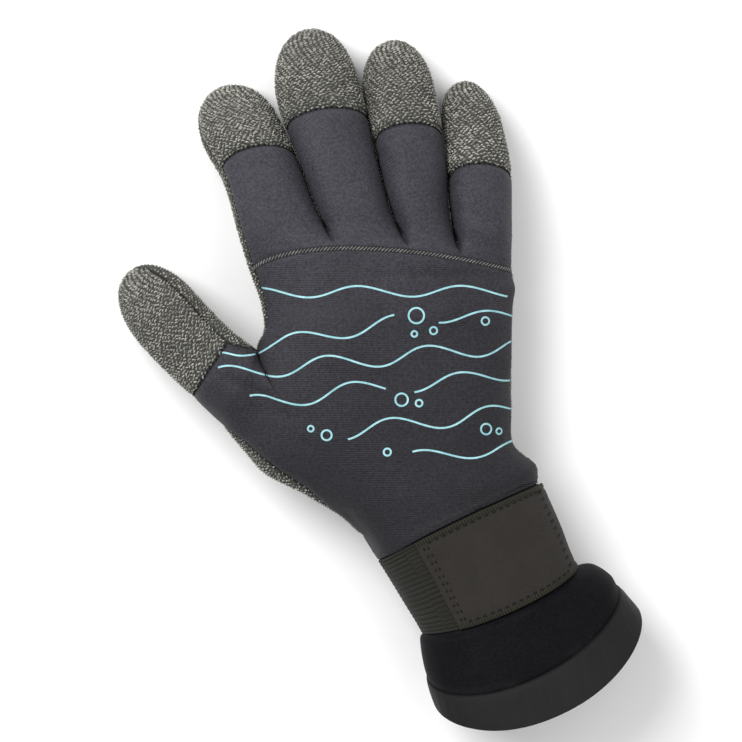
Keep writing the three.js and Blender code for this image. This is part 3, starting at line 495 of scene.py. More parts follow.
def column_angle(digit, row, column, side):
    """Angle of a column: the palm fabric turns up over the outer edges of hand, index and thumb."""
    start = 0.0
    end = 180.0
    if digit == 0:
        start = np.interp(row, np.arange(THUMB_ROW + 1), SECTIONS["turn_up"][:THUMB_ROW + 1])
        end = 180 - THUMB_STRIP_ANGLE * clamp01((row - THUMB_ROW) / (THUMB_CAP_ROW - THUMB_ROW))
    if digit == 1:
        start = np.interp(row, INDEX_STRIP["row"], INDEX_STRIP["angle"])
    return mix(start, end if side == "back" else end - 360, column / COLUMNS)


def place(digit, row, column, side, inset=0.0):
    """Point of the skin at a row and column of a digit's back or palm grid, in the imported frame."""
    return skin(digit, row, column_angle(digit, row, column, side), inset, side == "back") + ORIGIN


def surface(digit, row, column, side, inset=0.0):
    """Point, tangents across and along for one column and row, and outward normal."""
    row, column = np.broadcast_arrays(np.asarray(row, float), np.asarray(column, float))
    tip = THUMB_TIP_ROW if digit == 0 else TIP_ROW
    low, high = np.maximum(column - STEP, 0), np.minimum(column + STEP, COLUMNS)
    first, last = np.maximum(row - STEP, 0), np.minimum(row + STEP, tip)
    across = place(digit, row, high, side, inset) - place(digit, row, low, side, inset)
    along = place(digit, last, column, side, inset) - place(digit, first, column, side, inset)
    across = across / (high - low)[..., None]
    along = along / (last - first)[..., None]
    normal = np.cross(across, along) * (1 if side == "back" else -1)
    lean = THUMB_TIP_LEAN if digit == 0 else 0.0
    ahead = np.array([-sind(lean), cosd(lean), 0.0])
    blunt = np.linalg.norm(normal, axis=-1, keepdims=True) < 1e-3
    return place(digit, row, column, side, inset), across, along, np.where(blunt, ahead, unit(normal))


# Folds and creases on the back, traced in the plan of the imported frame: ends, half width and depth, where a
# minus sign means a ridge
FOLDS = chart(
    "x0 y0 x1 y1 width depth",
    (-17, 96, -8, 90, 1.6, 0.5),
    (-15, 91, -5, 85, 1.5, 0.6),
    (-13, 86, -3, 80, 1.7, 0.7),
    (-12, 80, -2, 75, 1.6, 0.6),
    (-10, 75, -1, 70, 1.5, 0.45),
    (36, 92, 42, 84, 2.0, 0.5),
    (38, 84, 43, 76, 2.0, 0.5),
    (60, 60, 70, 52, 2.6, 0.6),
    (-52, 20, -40, 8, 3.0, 1.1),
    (-44, 4, -30, -3, 3.2, 0.7),
    (-47, 28, -41, 15, 2.6, 0.5),
    (20, 42, 72, 27, 3.0, 0.9),
    (24, 36, 72, 21, 4.5, -0.7),
    (-26, 30, -8, 4, 5.0, 0.6),
    (-12, 30, 6, 8, 5.0, -0.5),
    (46, 12, 62, -24, 5.0, 0.7),
    (-22, -48, -14, -66, 2.4, 0.7),
    (-14, -47, -5, -67, 3.0, -0.4),
    (24, -52, 30, -62, 3.0, 0.5),
    (45, -40, 50, -54, 3.5, 0.6),
    (-2, -108, 6, -122, 3.5, 0.5),
    (40, -100, 52, -112, 4.0, 0.6),
)


def folds(point):
    """Depth of the traced folds: each a bell across its line, fading past its ends."""
    depth = 0.0
    for fold in zip(*FOLDS.values()):
        start, end, (width, deep) = np.array(fold[:2]), np.array(fold[2:4]), fold[4:]
        way = end - start
        t = clamp01(((point[..., :2] - start) @ way) / (way @ way))
        away = np.linalg.norm(point[..., :2] - start - t[..., None] * way, axis=-1)
        depth = depth + deep * np.exp(-((away / width) ** 2))
    return depth


def bell(distance, width):
    """exp(-(distance / width)^2)."""
    return np.exp(-((distance / width) ** 2))


# Relief of the soft surface in millimetres: how far a seam is felt, its groove and the swelling beside it,
# the share of both that the hem's seam has, the swelling beside the strap, and the creases between fingers
SEAM_REACH = 12.0
GROOVE_WIDTH = 1.3
SWELL_SHARE = 0.35
SWELL_PLACE = 4.5
SWELL_WIDTH = 2.6
HEM_SHARE = 0.25
UNEVENNESS = 0.14
STRAP_SWELL = 1.5
CREASE_WIDTH = 0.65
CREASE_DEPTH = 1.1

# Rows at which a seam begins on the left and right edge of each digit
LEFT_SEAM_ROWS = [PALM_START_ROW, THUMB_ROW, WEB_ROW, WEB_ROW, WEB_ROW]
RIGHT_SEAM_ROWS = [THUMB_ROW, WEB_ROW, WEB_ROW, WEB_ROW, PALM_START_ROW]


def seam_distance(digit, row, column, side, across, along):
    """Distance in mm to the nearest sewn edge: rows or columns away times the grid's spacing there."""
    per_row = np.linalg.norm(along, axis=-1)
    per_column = np.linalg.norm(across, axis=-1)
    lines = [HEM_ROW] if side == "palm" else [HEM_ROW, THUMB_CAP_ROW if digit == 0 else CAP_ROW]
    if side == "palm":
        lines.append(PALM_START_ROW)
    elif digit > 0:
        lines.append(KNUCKLE_ROW)
    nearest = np.full(row.shape, SEAM_REACH)
    for line in lines:
        away = np.abs(row - line)
        nearest = np.minimum(nearest, np.where(away < 2, away * per_row, SEAM_REACH))
    seamed_left = (row >= LEFT_SEAM_ROWS[digit]) & (column < COLUMNS / 2)
    seamed_right = (row >= RIGHT_SEAM_ROWS[digit]) & (column > COLUMNS / 2)
    left = np.where(seamed_left, column * per_column, SEAM_REACH)
    right = np.where(seamed_right, (COLUMNS - column) * per_column, SEAM_REACH)
    return np.minimum(nearest, np.minimum(left, right))


def relief(digit, row, column, side, across, along, point, settings):
    """How far the soft surface stands off the plain skin, in mm: it sinks where it is sewn and swells beside
    the seams and the strap, the gaps between the fingers run on as creases, and it is never quite even."""
    seam = seam_distance(digit, row, column, side, across, along)
    height = settings.seam_depth / MM * (
        SWELL_SHARE * bell(seam - SWELL_PLACE, SWELL_WIDTH) - bell(seam, GROOVE_WIDTH))
    height = height * mix(HEM_SHARE, 1.0, ramp(row, 3, 6))
    below = ramp(row, STRAP_LOW_ROW - 2.2, STRAP_LOW_ROW - 0.6) * (1 - ramp(row, STRAP_LOW_ROW - 0.1,
                                                                            STRAP_LOW_ROW))
    above = ramp(row, STRAP_TOP_ROW, STRAP_TOP_ROW + 0.09) * (1 - ramp(row, STRAP_TOP_ROW + 0.3,
                                                                       STRAP_TOP_ROW + 2))
    height = height + STRAP_SWELL * (below + above)
    height = height + UNEVENNESS * np.sin(point[..., 0] / 9 + point[..., 1] / 13) * np.sin(
        point[..., 1] / 11 - point[..., 0] / 17)
    if side == "palm":
        return height
    height = height - settings.fold_depth * folds(point)
    if digit > 0:
        u = (1 - cosd(column_angle(digit, row, column, side))) / 2
        width = FINGER_WIDTHS[digit - 1]
        left = bell(u * width, CREASE_WIDTH) if digit > 1 else 0.0
        right = bell((1 - u) * width, CREASE_WIDTH) if digit < 4 else 0.0
        fade = ramp(row, KNUCKLE_ROW + 0.3, KNUCKLE_ROW + 1.4)
        fade = fade * (1 - ramp(row, WEB_ROW - 1.4, WEB_ROW - 0.2))
        height = height - CREASE_DEPTH * (left + right) * fade
    return height


def dressed(digit, row, column, side, inset, settings):
    """The skin with its relief: point, unit tangents across and along, and normal."""
    row, column = np.broadcast_arrays(np.asarray(row, float), np.asarray(column, float))
    point, across, along, normal = surface(digit, row, column, side, inset)
    height = relief(digit, row, column, side, across, along, point, settings)
    return point + height[..., None] * normal, unit(across), unit(along), normal


def arc_lengths(points):
    """Length along a line of points up to each of them."""
    return np.concatenate([[0], np.cumsum(np.linalg.norm(np.diff(points, axis=0), axis=1))])


def grid_triangles(index, flip=False):
    """Two triangles for each cell of a grid of point numbers."""
    a, b, c, d = index[:-1, :-1], index[:-1, 1:], index[1:, 1:], index[1:, :-1]
    quads = np.stack([d, c, b, a] if flip else [a, b, c, d], axis=-1).reshape(-1, 4)
    return np.concatenate([quads[:, [0, 1, 2]], quads[:, [0, 2, 3]]])


def fine_rows(digit, first, last, finer):
    """Row values for a fine grid, closer together at both ends of the piece."""
    counts = THUMB_FINE_ROWS if digit == 0 else FINE_ROWS
    rows = [np.linspace(row, row + 1, counts[row] * finer, endpoint=False) for row in range(first, last)]
    ends = [[float(last)], first + EDGE_STEPS, last - EDGE_STEPS]
    return np.unique(np.round(np.concatenate(rows + ends), 6))


def panel(parts, outside, inside, settings, shape=None, finer=1):
    """A closed piece of the skin between two insets, made of parts (digit, side, first row, last row, first
    column). Grid points that meet are joined, the outer face carries the relief, and rims close the edges.
    shape, if given, adds its own height in mm from (row, arc across, arc along). finer asks for more rows,
    with half the columns."""
    bases, outers, inners, seams, cloths, faces = [], [], [], [], [], []
    count = 0
    reach = {}
    for digit, side, first, last, first_column in parts:
        rows = fine_rows(digit, first, last, finer)
        steps = (FINE_COLUMNS[digit] if finer == 1 else 3) * (COLUMNS - first_column) + 1
        row, column = np.meshgrid(rows, np.linspace(first_column, COLUMNS, steps), indexing="ij")
        base, across, along, normal = surface(digit, row, column, side, outside)
        height = relief(digit, row, column, side, across, along, base, settings)
        stride = np.linalg.norm(np.diff(base, axis=1), axis=-1)
        arc = np.pad(np.cumsum(stride, axis=1), ((0, 0), (1, 0)))
        previous = reach.get(side)
        joins = previous is not None and len(previous) == len(rows)
        before = previous[:, None] if joins else 0.0
        reach[side] = (arc + before)[:, -1]
        climb = np.linalg.norm(np.diff(base, axis=0), axis=-1).sum(axis=0).mean()
        rise = (row - first) / (last - first) * climb
        if shape is not None:
            height = height + shape(row, arc + before, rise)
        bases.append(base.reshape(-1, 3))
        outers.append((base + height[..., None] * normal).reshape(-1, 3))
        inners.append(place(digit, row, column, side, inside).reshape(-1, 3))
        seams.append(seam_distance(digit, row, column, side, across, along).ravel())
        edge = np.minimum(rise, climb - rise)
        cloths.append(np.stack([arc + before, rise, edge], axis=-1).reshape(-1, 3))
        corner = count + np.arange(row.size).reshape(row.shape)
        faces.append(grid_triangles(corner, side == "palm"))
        count += row.size
    key = np.round(np.concatenate(bases), 3) + 0.0
    _, group = np.unique(key, axis=0, return_inverse=True)
    group = group.ravel()
    shared = np.bincount(group)

    def joined(values):
        values = np.concatenate(values)
        values = values.reshape(len(values), -1)
        sums = [np.bincount(group, weights=column) / shared for column in values.T]
        return np.stack(sums, axis=-1)

    outer, inner, seam, cloth = (joined(values) for values in (outers, inners, seams, cloths))
    triangles = group[np.concatenate(faces)]
    whole = (triangles != np.roll(triangles, 1, axis=1)).all(axis=1)
    triangles = triangles[whole]
    size = len(shared)
    start = triangles.ravel()
    end = np.roll(triangles, -1, axis=1).ravel()
    free = ~np.isin(start * size + end, end * size + start)
    start, end = start[free], end[free]
    rims = np.concatenate([np.stack([end, start, start + size], axis=-1),
                           np.stack([end, start + size, end + size], axis=-1)])
    faces = np.concatenate([triangles, triangles[:, ::-1] + size, rims])
    lining = np.zeros(len(faces), int)
    lining[len(triangles):2 * len(triangles)] = 1
    attributes = {"seam": np.tile(seam.ravel(), 2), "cloth": np.tile(cloth, (2, 1))}
    return np.concatenate([outer, inner]), faces, lining, attributes


# Angle in degrees past which an edge is drawn sharp
SHARP_ANGLE = 55


def make_piece(name, points, faces, materials, slot, replaces=None, lining=None, attributes=None):
    """A mesh object from points in mm and triangles, that rides on the glove's one body. Nothing of it goes
    below the surface that the glove lies on."""
    points = np.maximum(points, [-np.inf, -np.inf, 0.0])
    mesh = bpy.data.meshes.new(name)
    mesh.from_pydata((points * MM).tolist(), [], faces.tolist())
    for material in materials:
        mesh.materials.append(material)
    if lining is not None:
        mesh.polygons.foreach_set("material_index", lining.astype(np.int32))
    for label, values in (attributes or {}).items():
        if values.ndim == 1:
            layer = mesh.attributes.new(label, "FLOAT", "POINT")
            layer.data.foreach_set("value", values.astype(np.float32))
        else:
            layer = mesh.attributes.new(label, "FLOAT_VECTOR", "POINT")
            layer.data.foreach_set("vector", values.astype(np.float32).ravel())
    mesh.polygons.foreach_set("use_smooth", np.ones(len(faces), bool))
    mesh.set_sharp_from_angle(angle=np.radians(SHARP_ANGLE))
    mesh.validate()
    mesh.update()
    piece = bpy.data.objects.new(name, mesh)
    bpy.context.scene.collection.objects.link(piece)
    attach(piece, BODY)
    if replaces:
        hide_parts(replaces)
    return piece


def trail(stretches, side, settings, inset=0.0, samples=90):
    """Dense points and normals along straight stretches (digit, row, column, row, column) of the grid."""
    points, normals = [], []
    for digit, row0, column0, row1, column1 in stretches:
        t = np.linspace(0, 1, samples)
        point, _, _, normal = dressed(digit, mix(row0, row1, t), mix(column0, column1, t), side, inset,
                                      settings)
        points.append(point)
        normals.append(normal)
    return np.concatenate(points), np.concatenate(normals)


def stations(line, pitch, shift=0.0, start=0.0):
    """Evenly spaced points on a dense line with its direction, side and normal there."""
    points, normals = line
    arc = arc_lengths(points)
    at = np.arange(start * pitch, arc[-1], pitch)

    def read(values, where):
        return np.stack([np.interp(where, arc, values[:, axis]) for axis in range(3)], axis=-1)

    normal = unit(read(normals, at))
    way = unit(read(points, at + 0.3) - read(points, at - 0.3))
    side = unit(np.cross(normal, way))
    return read(points, at) + shift * side, way, side, normal


def turned(way, side, angle):
    """The two directions turned in their plane, by degrees."""
    c, s = cosd(angle), sind(angle)
    c, s = (np.reshape(value, (-1, 1)) for value in np.broadcast_arrays(c, s))
    return c * way + s * side, c * side - s * way


def grain(length, width, height, stages, sides, bend=0.0):
    """A closed-topped grain that tapers to both ends, as points (along, across, up) and triangles."""
    t = np.linspace(0, 1, stages + 2)[1:-1]
    swell = np.sqrt(1 - (2 * t - 1) ** 2)
    turn = np.linspace(0, np.pi, sides)
    along = np.repeat((t - 0.5) * length, sides)
    across = np.outer(swell, np.cos(turn)).ravel() * width / 2 + np.repeat(bend * 4 * t * (1 - t), sides)
    up = np.outer(swell, np.sin(turn)).ravel() * height
    points = np.stack([along, across, up], axis=-1)
    tips = np.array([[-length / 2, 0.0, 0.0], [length / 2, 0.0, 0.0]])
    index = np.arange(stages * sides).reshape(stages, sides)
    first, last = stages * sides, stages * sides + 1
    head = np.stack([np.full(sides - 1, first), index[0, 1:], index[0, :-1]], axis=-1)
    foot = np.stack([np.full(sides - 1, last), index[-1, :-1], index[-1, 1:]], axis=-1)
    faces = np.concatenate([grid_triangles(index), head, foot])
    return np.concatenate([points, tips]), faces


def sown(template, point, way, side, normal, scale=1.0):
    """Copies of a template at every point, as points and triangles."""
    shape, faces = template
    scale = np.reshape(np.broadcast_to(scale, len(point)), (-1, 1, 1))
    shape = shape[None] * scale
    copies = point[:, None] + shape[..., :1] * way[:, None] + shape[..., 1:2] * side[:, None] + (
        shape[..., 2:] * normal[:, None])
    offsets = np.arange(len(point))[:, None, None] * shape.shape[1]
    return copies.reshape(-1, 3), (faces[None] + offsets).reshape(-1, 3)


def gathered(*groups):
    """Several sets of points and triangles as one."""
    points, faces = [], []
    count = 0
    for some_points, some_faces in groups:
        points.append(some_points)
        faces.append(some_faces + count)
        count += len(some_points)
    return np.concatenate(points), np.concatenate(faces)


def ribbon(line, spacing, profile, ripple=0.0, pitch=1.0, closed=False):
    """A band along a line with the given profile of (across, up), open below. ripple raises it in ticks."""
    point, _, side, normal = stations(line, spacing)
    ticks = 1 + ripple * np.cos(2 * np.pi * np.arange(len(point)) * spacing / pitch)
    grid = point[:, None] + profile[None, :, :1] * side[:, None] + (
        profile[None, :, 1:] * ticks[:, None, None] * normal[:, None])
    if closed:
        grid = np.concatenate([grid, grid[:1]])
    index = np.arange(grid.shape[0] * grid.shape[1]).reshape(grid.shape[:2])
    return grid.reshape(-1, 3), grid_triangles(index)[:, ::-1]


# Layout of the grains: shift of every other row and spacing as shares of a grain's length, jitter and wave
# in millimetres, least and most slant in degrees, and the share of grains that slant to the same side
GRAIN_SHIFT = 0.55
GRAIN_SPACING = 1.12
GRAIN_JITTER = 0.35
GRAIN_WAVE = 0.35
GRAIN_SLANTS = (5, 38)
GRAIN_SAME_SIDE = 0.62


def grip_grains(digit, side, first, last, settings, random, template):
    """Raised grains of the grip knit over one region, in uneven wavy rows of short slanted strokes."""
    dense = np.linspace(first, last, 500)
    middle = place(digit, dense, COLUMNS / 2, side)
    climb = arc_lengths(middle)
    lines = np.arange(settings.grip_pitch / 2 / MM, climb[-1], settings.grip_pitch / MM)
    lines = np.interp(lines, climb, dense)
    across = np.linspace(0, COLUMNS, 160)
    rows, columns = [], []
    for number, line in enumerate(lines):
        points = place(digit, line, across, side)
        arc = arc_lengths(points)
        length = settings.grip_length / MM
        spots = np.arange(0.5 + (number % 2) * length * GRAIN_SHIFT, arc[-1] - 0.5, length * GRAIN_SPACING)
        spots = spots + random.uniform(-GRAIN_JITTER, GRAIN_JITTER, len(spots))
        columns.append(np.interp(spots, arc, across))
        rows.append(np.full(len(spots), line))
    columns = np.concatenate(columns)
    rows = np.concatenate(rows)
    point, way, along, normal = dressed(digit, rows, columns, side, 0.0, settings)
    wave = GRAIN_WAVE * np.sin(point[:, 0] * 1.1 + point[:, 1] * 0.4)
    wave = wave + random.uniform(-0.25, 0.25, len(point))
    point = point + wave[:, None] * along
    sense = np.where(random.uniform(0, 1, len(point)) < GRAIN_SAME_SIDE, 1, -1)
    slant = (sense if side == "back" else -sense) * random.uniform(*GRAIN_SLANTS, len(point))
    stroke, width = turned(way, along if side == "back" else -along, slant)
    scale = random.uniform(0.8, 1.15, len(point))
    return sown(template, point - 0.08 * normal, stroke, width, normal, scale)


class Recipe:
    """A material under construction. What is the same all over stays on the shader's own sockets."""

    def __init__(self, name, color, roughness, **fixed):
        self.material = bpy.data.materials.new(name)
        self.material.use_nodes = True
        self.tree = self.material.node_tree
        self.shader = self.tree.nodes["Principled BSDF"]
        self.shader.inputs["Base Color"].default_value = (*color, 1)
        self.shader.inputs["Roughness"].default_value = roughness
        for key, value in fixed.items():
            self.shader.inputs[key.replace("_", " ")].default_value = value
        self.object_place = self.node("ShaderNodeTexCoord").outputs["Object"]

    def node(self, kind, inputs=None, **settings):
        made = self.tree.nodes.new(kind)
        for key, value in settings.items():
            setattr(made, key, value)
        for key, value in (inputs or {}).items():
            self.feed(made.inputs[key], value)
        return made

    def feed(self, socket, value):
        if isinstance(value, bpy.types.NodeSocket):
            self.tree.links.new(value, socket)
        else:
            socket.default_value = value

    def noise(self, scale, detail=3.0):
        """Noise of about 1/scale metres."""
        inputs = {"Vector": self.object_place, "Scale": scale, "Detail": detail, "Roughness": 0.55}
        return self.node("ShaderNodeTexNoise", inputs).outputs["Fac"]

    def ribs(self, pitch, angle, distortion, place=None, direction="Y"):
        """Even ribs of a pitch in metres, across the given direction. The wave repeats every pi / 10 of its
        scale."""
        turn = {"Vector": place or self.object_place, "Rotation": (0, 0, np.radians(angle))}
        inputs = {"Vector": self.node("ShaderNodeMapping", turn).outputs["Vector"],
                  "Scale": np.pi / (10 * pitch), "Distortion": distortion, "Detail": 2.0,
                  "Detail Scale": 1.0}
        return self.node("ShaderNodeTexWave", inputs, bands_direction=direction).outputs["Fac"]

    def cells(self, scale):
        """Distance to the middle of the nearest cell, for cells of about 1/scale metres."""
        inputs = {"Vector": self.object_place, "Scale": scale}
        return self.node("ShaderNodeTexVoronoi", inputs, feature="F1").outputs["Distance"]

    def attribute(self, name, output="Fac"):
        return self.node("ShaderNodeAttribute", attribute_name=name).outputs[output]

    def math(self, operation, a, b):
        made = self.tree.nodes.new("ShaderNodeMath")
        made.operation = operation
        self.feed(made.inputs[0], a)
        self.feed(made.inputs[1], b)
        return made.outputs[0]

    def scaled(self, value, low, high, to_low=0.0, to_high=1.0):
        inputs = {"Value": value, "From Min": low, "From Max": high, "To Min": to_low, "To Max": to_high}
        return self.node("ShaderNodeMapRange", inputs).outputs[0]

    def blend(self, factor, a, b, kind="MIX"):
        made = self.tree.nodes.new("ShaderNodeMix")
        made.data_type = "RGBA"
        made.blend_type = kind
        self.feed(made.inputs[0], factor)
        self.feed(made.inputs[6], a if isinstance(a, bpy.types.NodeSocket) else (*a, 1))
        self.feed(made.inputs[7], b if isinstance(b, bpy.types.NodeSocket) else (*b, 1))
        return made.outputs[2]

    def shade(self, color, factor):
        """A colour times a grey factor."""
        grey = self.node("ShaderNodeCombineColor", {"Red": factor, "Green": factor, "Blue": factor})
        return self.blend(1.0, color, grey.outputs[0], "MULTIPLY")

    def tint(self, color, value, low, high, darkest, lightest):
        """A colour times a grey factor that runs with a value."""
        return self.shade(color, self.scaled(value, low, high, darkest, lightest))

    def bump(self, height, distance):
        inputs = {"Height": height, "Distance": distance, "Strength": 1.0}
        self.tree.links.new(self.node("ShaderNodeBump", inputs).outputs[0], self.shader.inputs["Normal"])

    def finish(self, color=None, roughness=None):
        if color is not None:
            self.tree.links.new(color, self.shader.inputs["Base Color"])
        if roughness is not None:
            self.tree.links.new(roughness, self.shader.inputs["Roughness"])
        return self.material


def neoprene(name, dark, light, rib_pitch, rib_angle, rib_depth, gloss=0.15, strap_painted_shade_tone=1.0):
    """Nylon-faced neoprene: fine ribs and knit cells, mottled by wear, darker in the seams and rubbed pale
    just beside them. The last argument is how much of its tone is left by the strap: painted shade that
    darkens the neoprene toward the strap."""
    recipe = Recipe(name, light, 0.62, Specular_IOR_Level=gloss, Sheen_Weight=0.13 * gloss)
    ribs = recipe.ribs(rib_pitch, rib_angle, 0.5)
    knit = recipe.noise(950, 2.0)
    mottle = recipe.noise(28, 4.0)
    color = recipe.blend(recipe.scaled(mottle, 0.3, 0.7), dark, light)
    color = recipe.tint(color, ribs, 0, 1, 1.0 - 0.2 * rib_depth, 1.0 + 0.1 * rib_depth)
    color = recipe.tint(color, knit, 0.25, 0.75, 0.55, 1.45)
    seam = recipe.attribute("seam")
    color = recipe.tint(color, seam, 0.3, 1.3, 0.3, 1.0)
    rubbed = recipe.math("MULTIPLY", recipe.scaled(seam, 4.0, 1.8), recipe.scaled(mottle, 0.45, 0.7))
    lint = recipe.scaled(recipe.noise(2300, 0.0), 0.78, 0.84)
    color = recipe.blend(recipe.math("MULTIPLY", rubbed, 0.1), color, (0.1, 0.1, 0.11))
    color = recipe.blend(recipe.math("MULTIPLY", lint, 0.15 * rib_depth), color, (0.2, 0.2, 0.2))
    # Painted shade: the colour darkens along Y toward the strap, standing in for the shade on the hand's back
    # there.
    if strap_painted_shade_tone < 1:
        place = recipe.node("ShaderNodeSeparateXYZ", {0: recipe.object_place}).outputs["Y"]
        color = recipe.tint(color, place, -0.06, 0.045, strap_painted_shade_tone, 1.0)
    height = recipe.math("ADD", recipe.math("MULTIPLY", ribs, rib_depth), recipe.math("MULTIPLY", knit, 0.6))
    recipe.bump(height, 0.00011)
    return recipe.finish(color, recipe.scaled(mottle, 0.3, 0.7, 0.56, 0.7))


def lining(name):
    """Plush lining inside the glove: short soft loops in faint courses."""
    recipe = Recipe(name, (0.03, 0.03, 0.033), 0.9, Sheen_Weight=0.3, Sheen_Roughness=0.4)
    loops = recipe.cells(900)
    courses = recipe.ribs(0.0021, 4.0, 1.5)
    color = recipe.blend(recipe.scaled(loops, 0, 0.6), (0.045, 0.045, 0.05), (0.014, 0.014, 0.016))
    color = recipe.tint(color, courses, 0, 1, 0.75, 1.15)
    recipe.bump(recipe.math("ADD", recipe.math("MULTIPLY", loops, -0.8), courses), 0.0003)
    return recipe.finish(color, recipe.scaled(loops, 0, 0.6, 0.8, 0.95))


def grip_ground(name):
    """Ground of the grip knit between its raised grains: dark tight yarn with paler crowns."""
    recipe = Recipe(name, (0.05, 0.05, 0.043), 0.85)
    yarn = recipe.cells(1150)
    tone = recipe.noise(60, 3.0)
    color = recipe.blend(recipe.scaled(yarn, 0.05, 0.5), (0.11, 0.11, 0.098), (0.026, 0.026, 0.023))
    color = recipe.tint(color, tone, 0.3, 0.7, 0.8, 1.15)
    color = recipe.tint(color, recipe.attribute("seam"), 0.2, 1.4, 0.5, 1.0)
    recipe.bump(recipe.math("MULTIPLY", yarn, -1.0), 0.0005)
    return recipe.finish(color, recipe.scaled(yarn, 0, 0.6, 0.75, 0.92))


def grip_yarn(name, light):
    """Raised grains of the grip knit: grey-olive polymer-coated yarn, worn pale in patches."""
    recipe = Recipe(name, light, 0.6)
    patch = recipe.noise(420, 1.0)
    wear = recipe.noise(45, 3.0)
    strand = recipe.noise(4200, 1.0)
    color = recipe.blend(recipe.scaled(patch, 0.35, 0.65), (0.15, 0.148, 0.13), light)
    color = recipe.tint(color, wear, 0.3, 0.7, 0.75, 1.2)
    color = recipe.tint(color, strand, 0.3, 0.7, 0.8, 1.15)
    recipe.bump(strand, 0.00008)
    return recipe.finish(color, recipe.scaled(patch, 0.3, 0.7, 0.5, 0.72))


def thread(name, dark, light, roughness):
    """Sewing thread: twisted plies with slight wear."""
    recipe = Recipe(name, light, roughness, Specular_IOR_Level=0.3)
    ply = recipe.ribs(0.00045, 35.0, 0.4)
    tone = recipe.noise(300, 2.0)
    color = recipe.blend(recipe.scaled(tone, 0.3, 0.7), dark, light)
    color = recipe.tint(color, ply, 0, 1, 0.7, 1.2)
    recipe.bump(ply, 0.00008)
    return recipe.finish(color, recipe.scaled(tone, 0.3, 0.7, roughness - 0.08, roughness + 0.08))


def hem_cloth(name):
    """Smooth stretch binding: very fine close weave, drawn in faint puckers."""
    recipe = Recipe(name, (0.012, 0.012, 0.013), 0.6, Specular_IOR_Level=0.12)
    weave = recipe.noise(2600, 1.0)
    mottle = recipe.noise(35, 4.0)
    color = recipe.blend(recipe.scaled(mottle, 0.3, 0.7), (0.007, 0.007, 0.0075), (0.012, 0.012, 0.0125))
    color = recipe.tint(color, weave, 0.3, 0.7, 0.8, 1.2)
    color = recipe.tint(color, recipe.attribute("seam"), 0.1, 1.2, 0.3, 1.0)
    recipe.bump(weave, 0.00008)
    return recipe.finish(color, recipe.scaled(mottle, 0.3, 0.7, 0.5, 0.66))


def woven(name, dark, light, across_pitch, along_pitch, depth, roughness, rib_pitch=None, border=None):
    """Narrow woven stuff: crossing yarns along and across the band, read from the band's own lengths, with
    ribs along it, their furrows painted dark as painted shade, or a border of short cross ribs of the given
    width."""
    recipe = Recipe(name, light, roughness, Specular_IOR_Level=0.2)
    cloth = recipe.node("ShaderNodeVectorMath", {0: recipe.attribute("cloth", "Vector"), 3: MM},
                        operation="SCALE").outputs[0]
    warp = recipe.ribs(across_pitch, 0.0, 0.3, cloth, "Y")
    weft = recipe.ribs(along_pitch, 0.0, 0.3, cloth, "X")
    cross = recipe.math("MULTIPLY", warp, weft)
    tone = recipe.noise(90, 3.0)
    color = recipe.blend(recipe.scaled(cross, 0.05, 0.7), dark, light)
    color = recipe.tint(color, tone, 0.3, 0.7, 0.82, 1.15)
    if rib_pitch:
        # Painted shade: the furrows between the strap's raised ribs are painted darker.
        painted_furrow_shade = recipe.ribs(rib_pitch, 0.0, 0.0, cloth, "Y")
        color = recipe.tint(color, painted_furrow_shade, 0.0, 0.5, 0.45, 1.1)
    if border:
        edge = recipe.node("ShaderNodeSeparateXYZ", {0: cloth}).outputs["Z"]
        within = recipe.scaled(edge, border, border + 0.0004, 1.0, 0.0)
        cord = recipe.scaled(recipe.ribs(0.0013, 0.0, 0.2, cloth, "X"), 0.2, 0.7, 0.45, 1.15)
        tick = recipe.shade(color, cord)
        color = recipe.blend(within, color, recipe.blend(1.0, tick, (0.9, 1.0, 0.75), "MULTIPLY"))
    recipe.bump(cross, depth)
    return recipe.finish(color, recipe.scaled(tone, 0.3, 0.7, roughness - 0.08, roughness + 0.08))


def print_ink(name, light):
    """Screen-printed rubbery ink: pale aqua, slightly crazed and thin in places."""
    recipe = Recipe(name, light, 0.5, Specular_IOR_Level=0.3)
    worn = recipe.noise(240, 3.0)
    grain = recipe.noise(2200, 1.0)
    color = recipe.blend(recipe.scaled(worn, 0.35, 0.7), (0.22, 0.46, 0.5), light)
    color = recipe.tint(color, grain, 0.25, 0.75, 0.85, 1.1)
    recipe.bump(grain, 0.00005)
    return recipe.finish(color, recipe.scaled(worn, 0.3, 0.7, 0.38, 0.55))


def floor_paper(name):
    """Plain pale studio paper."""
    recipe = Recipe(name, (0.9, 0.9, 0.9), 0.9)
    tone = recipe.noise(3, 2.0)
    color = recipe.blend(recipe.scaled(tone, 0.2, 0.8), (0.89, 0.89, 0.89), (0.91, 0.91, 0.91))
    return recipe.finish(color)


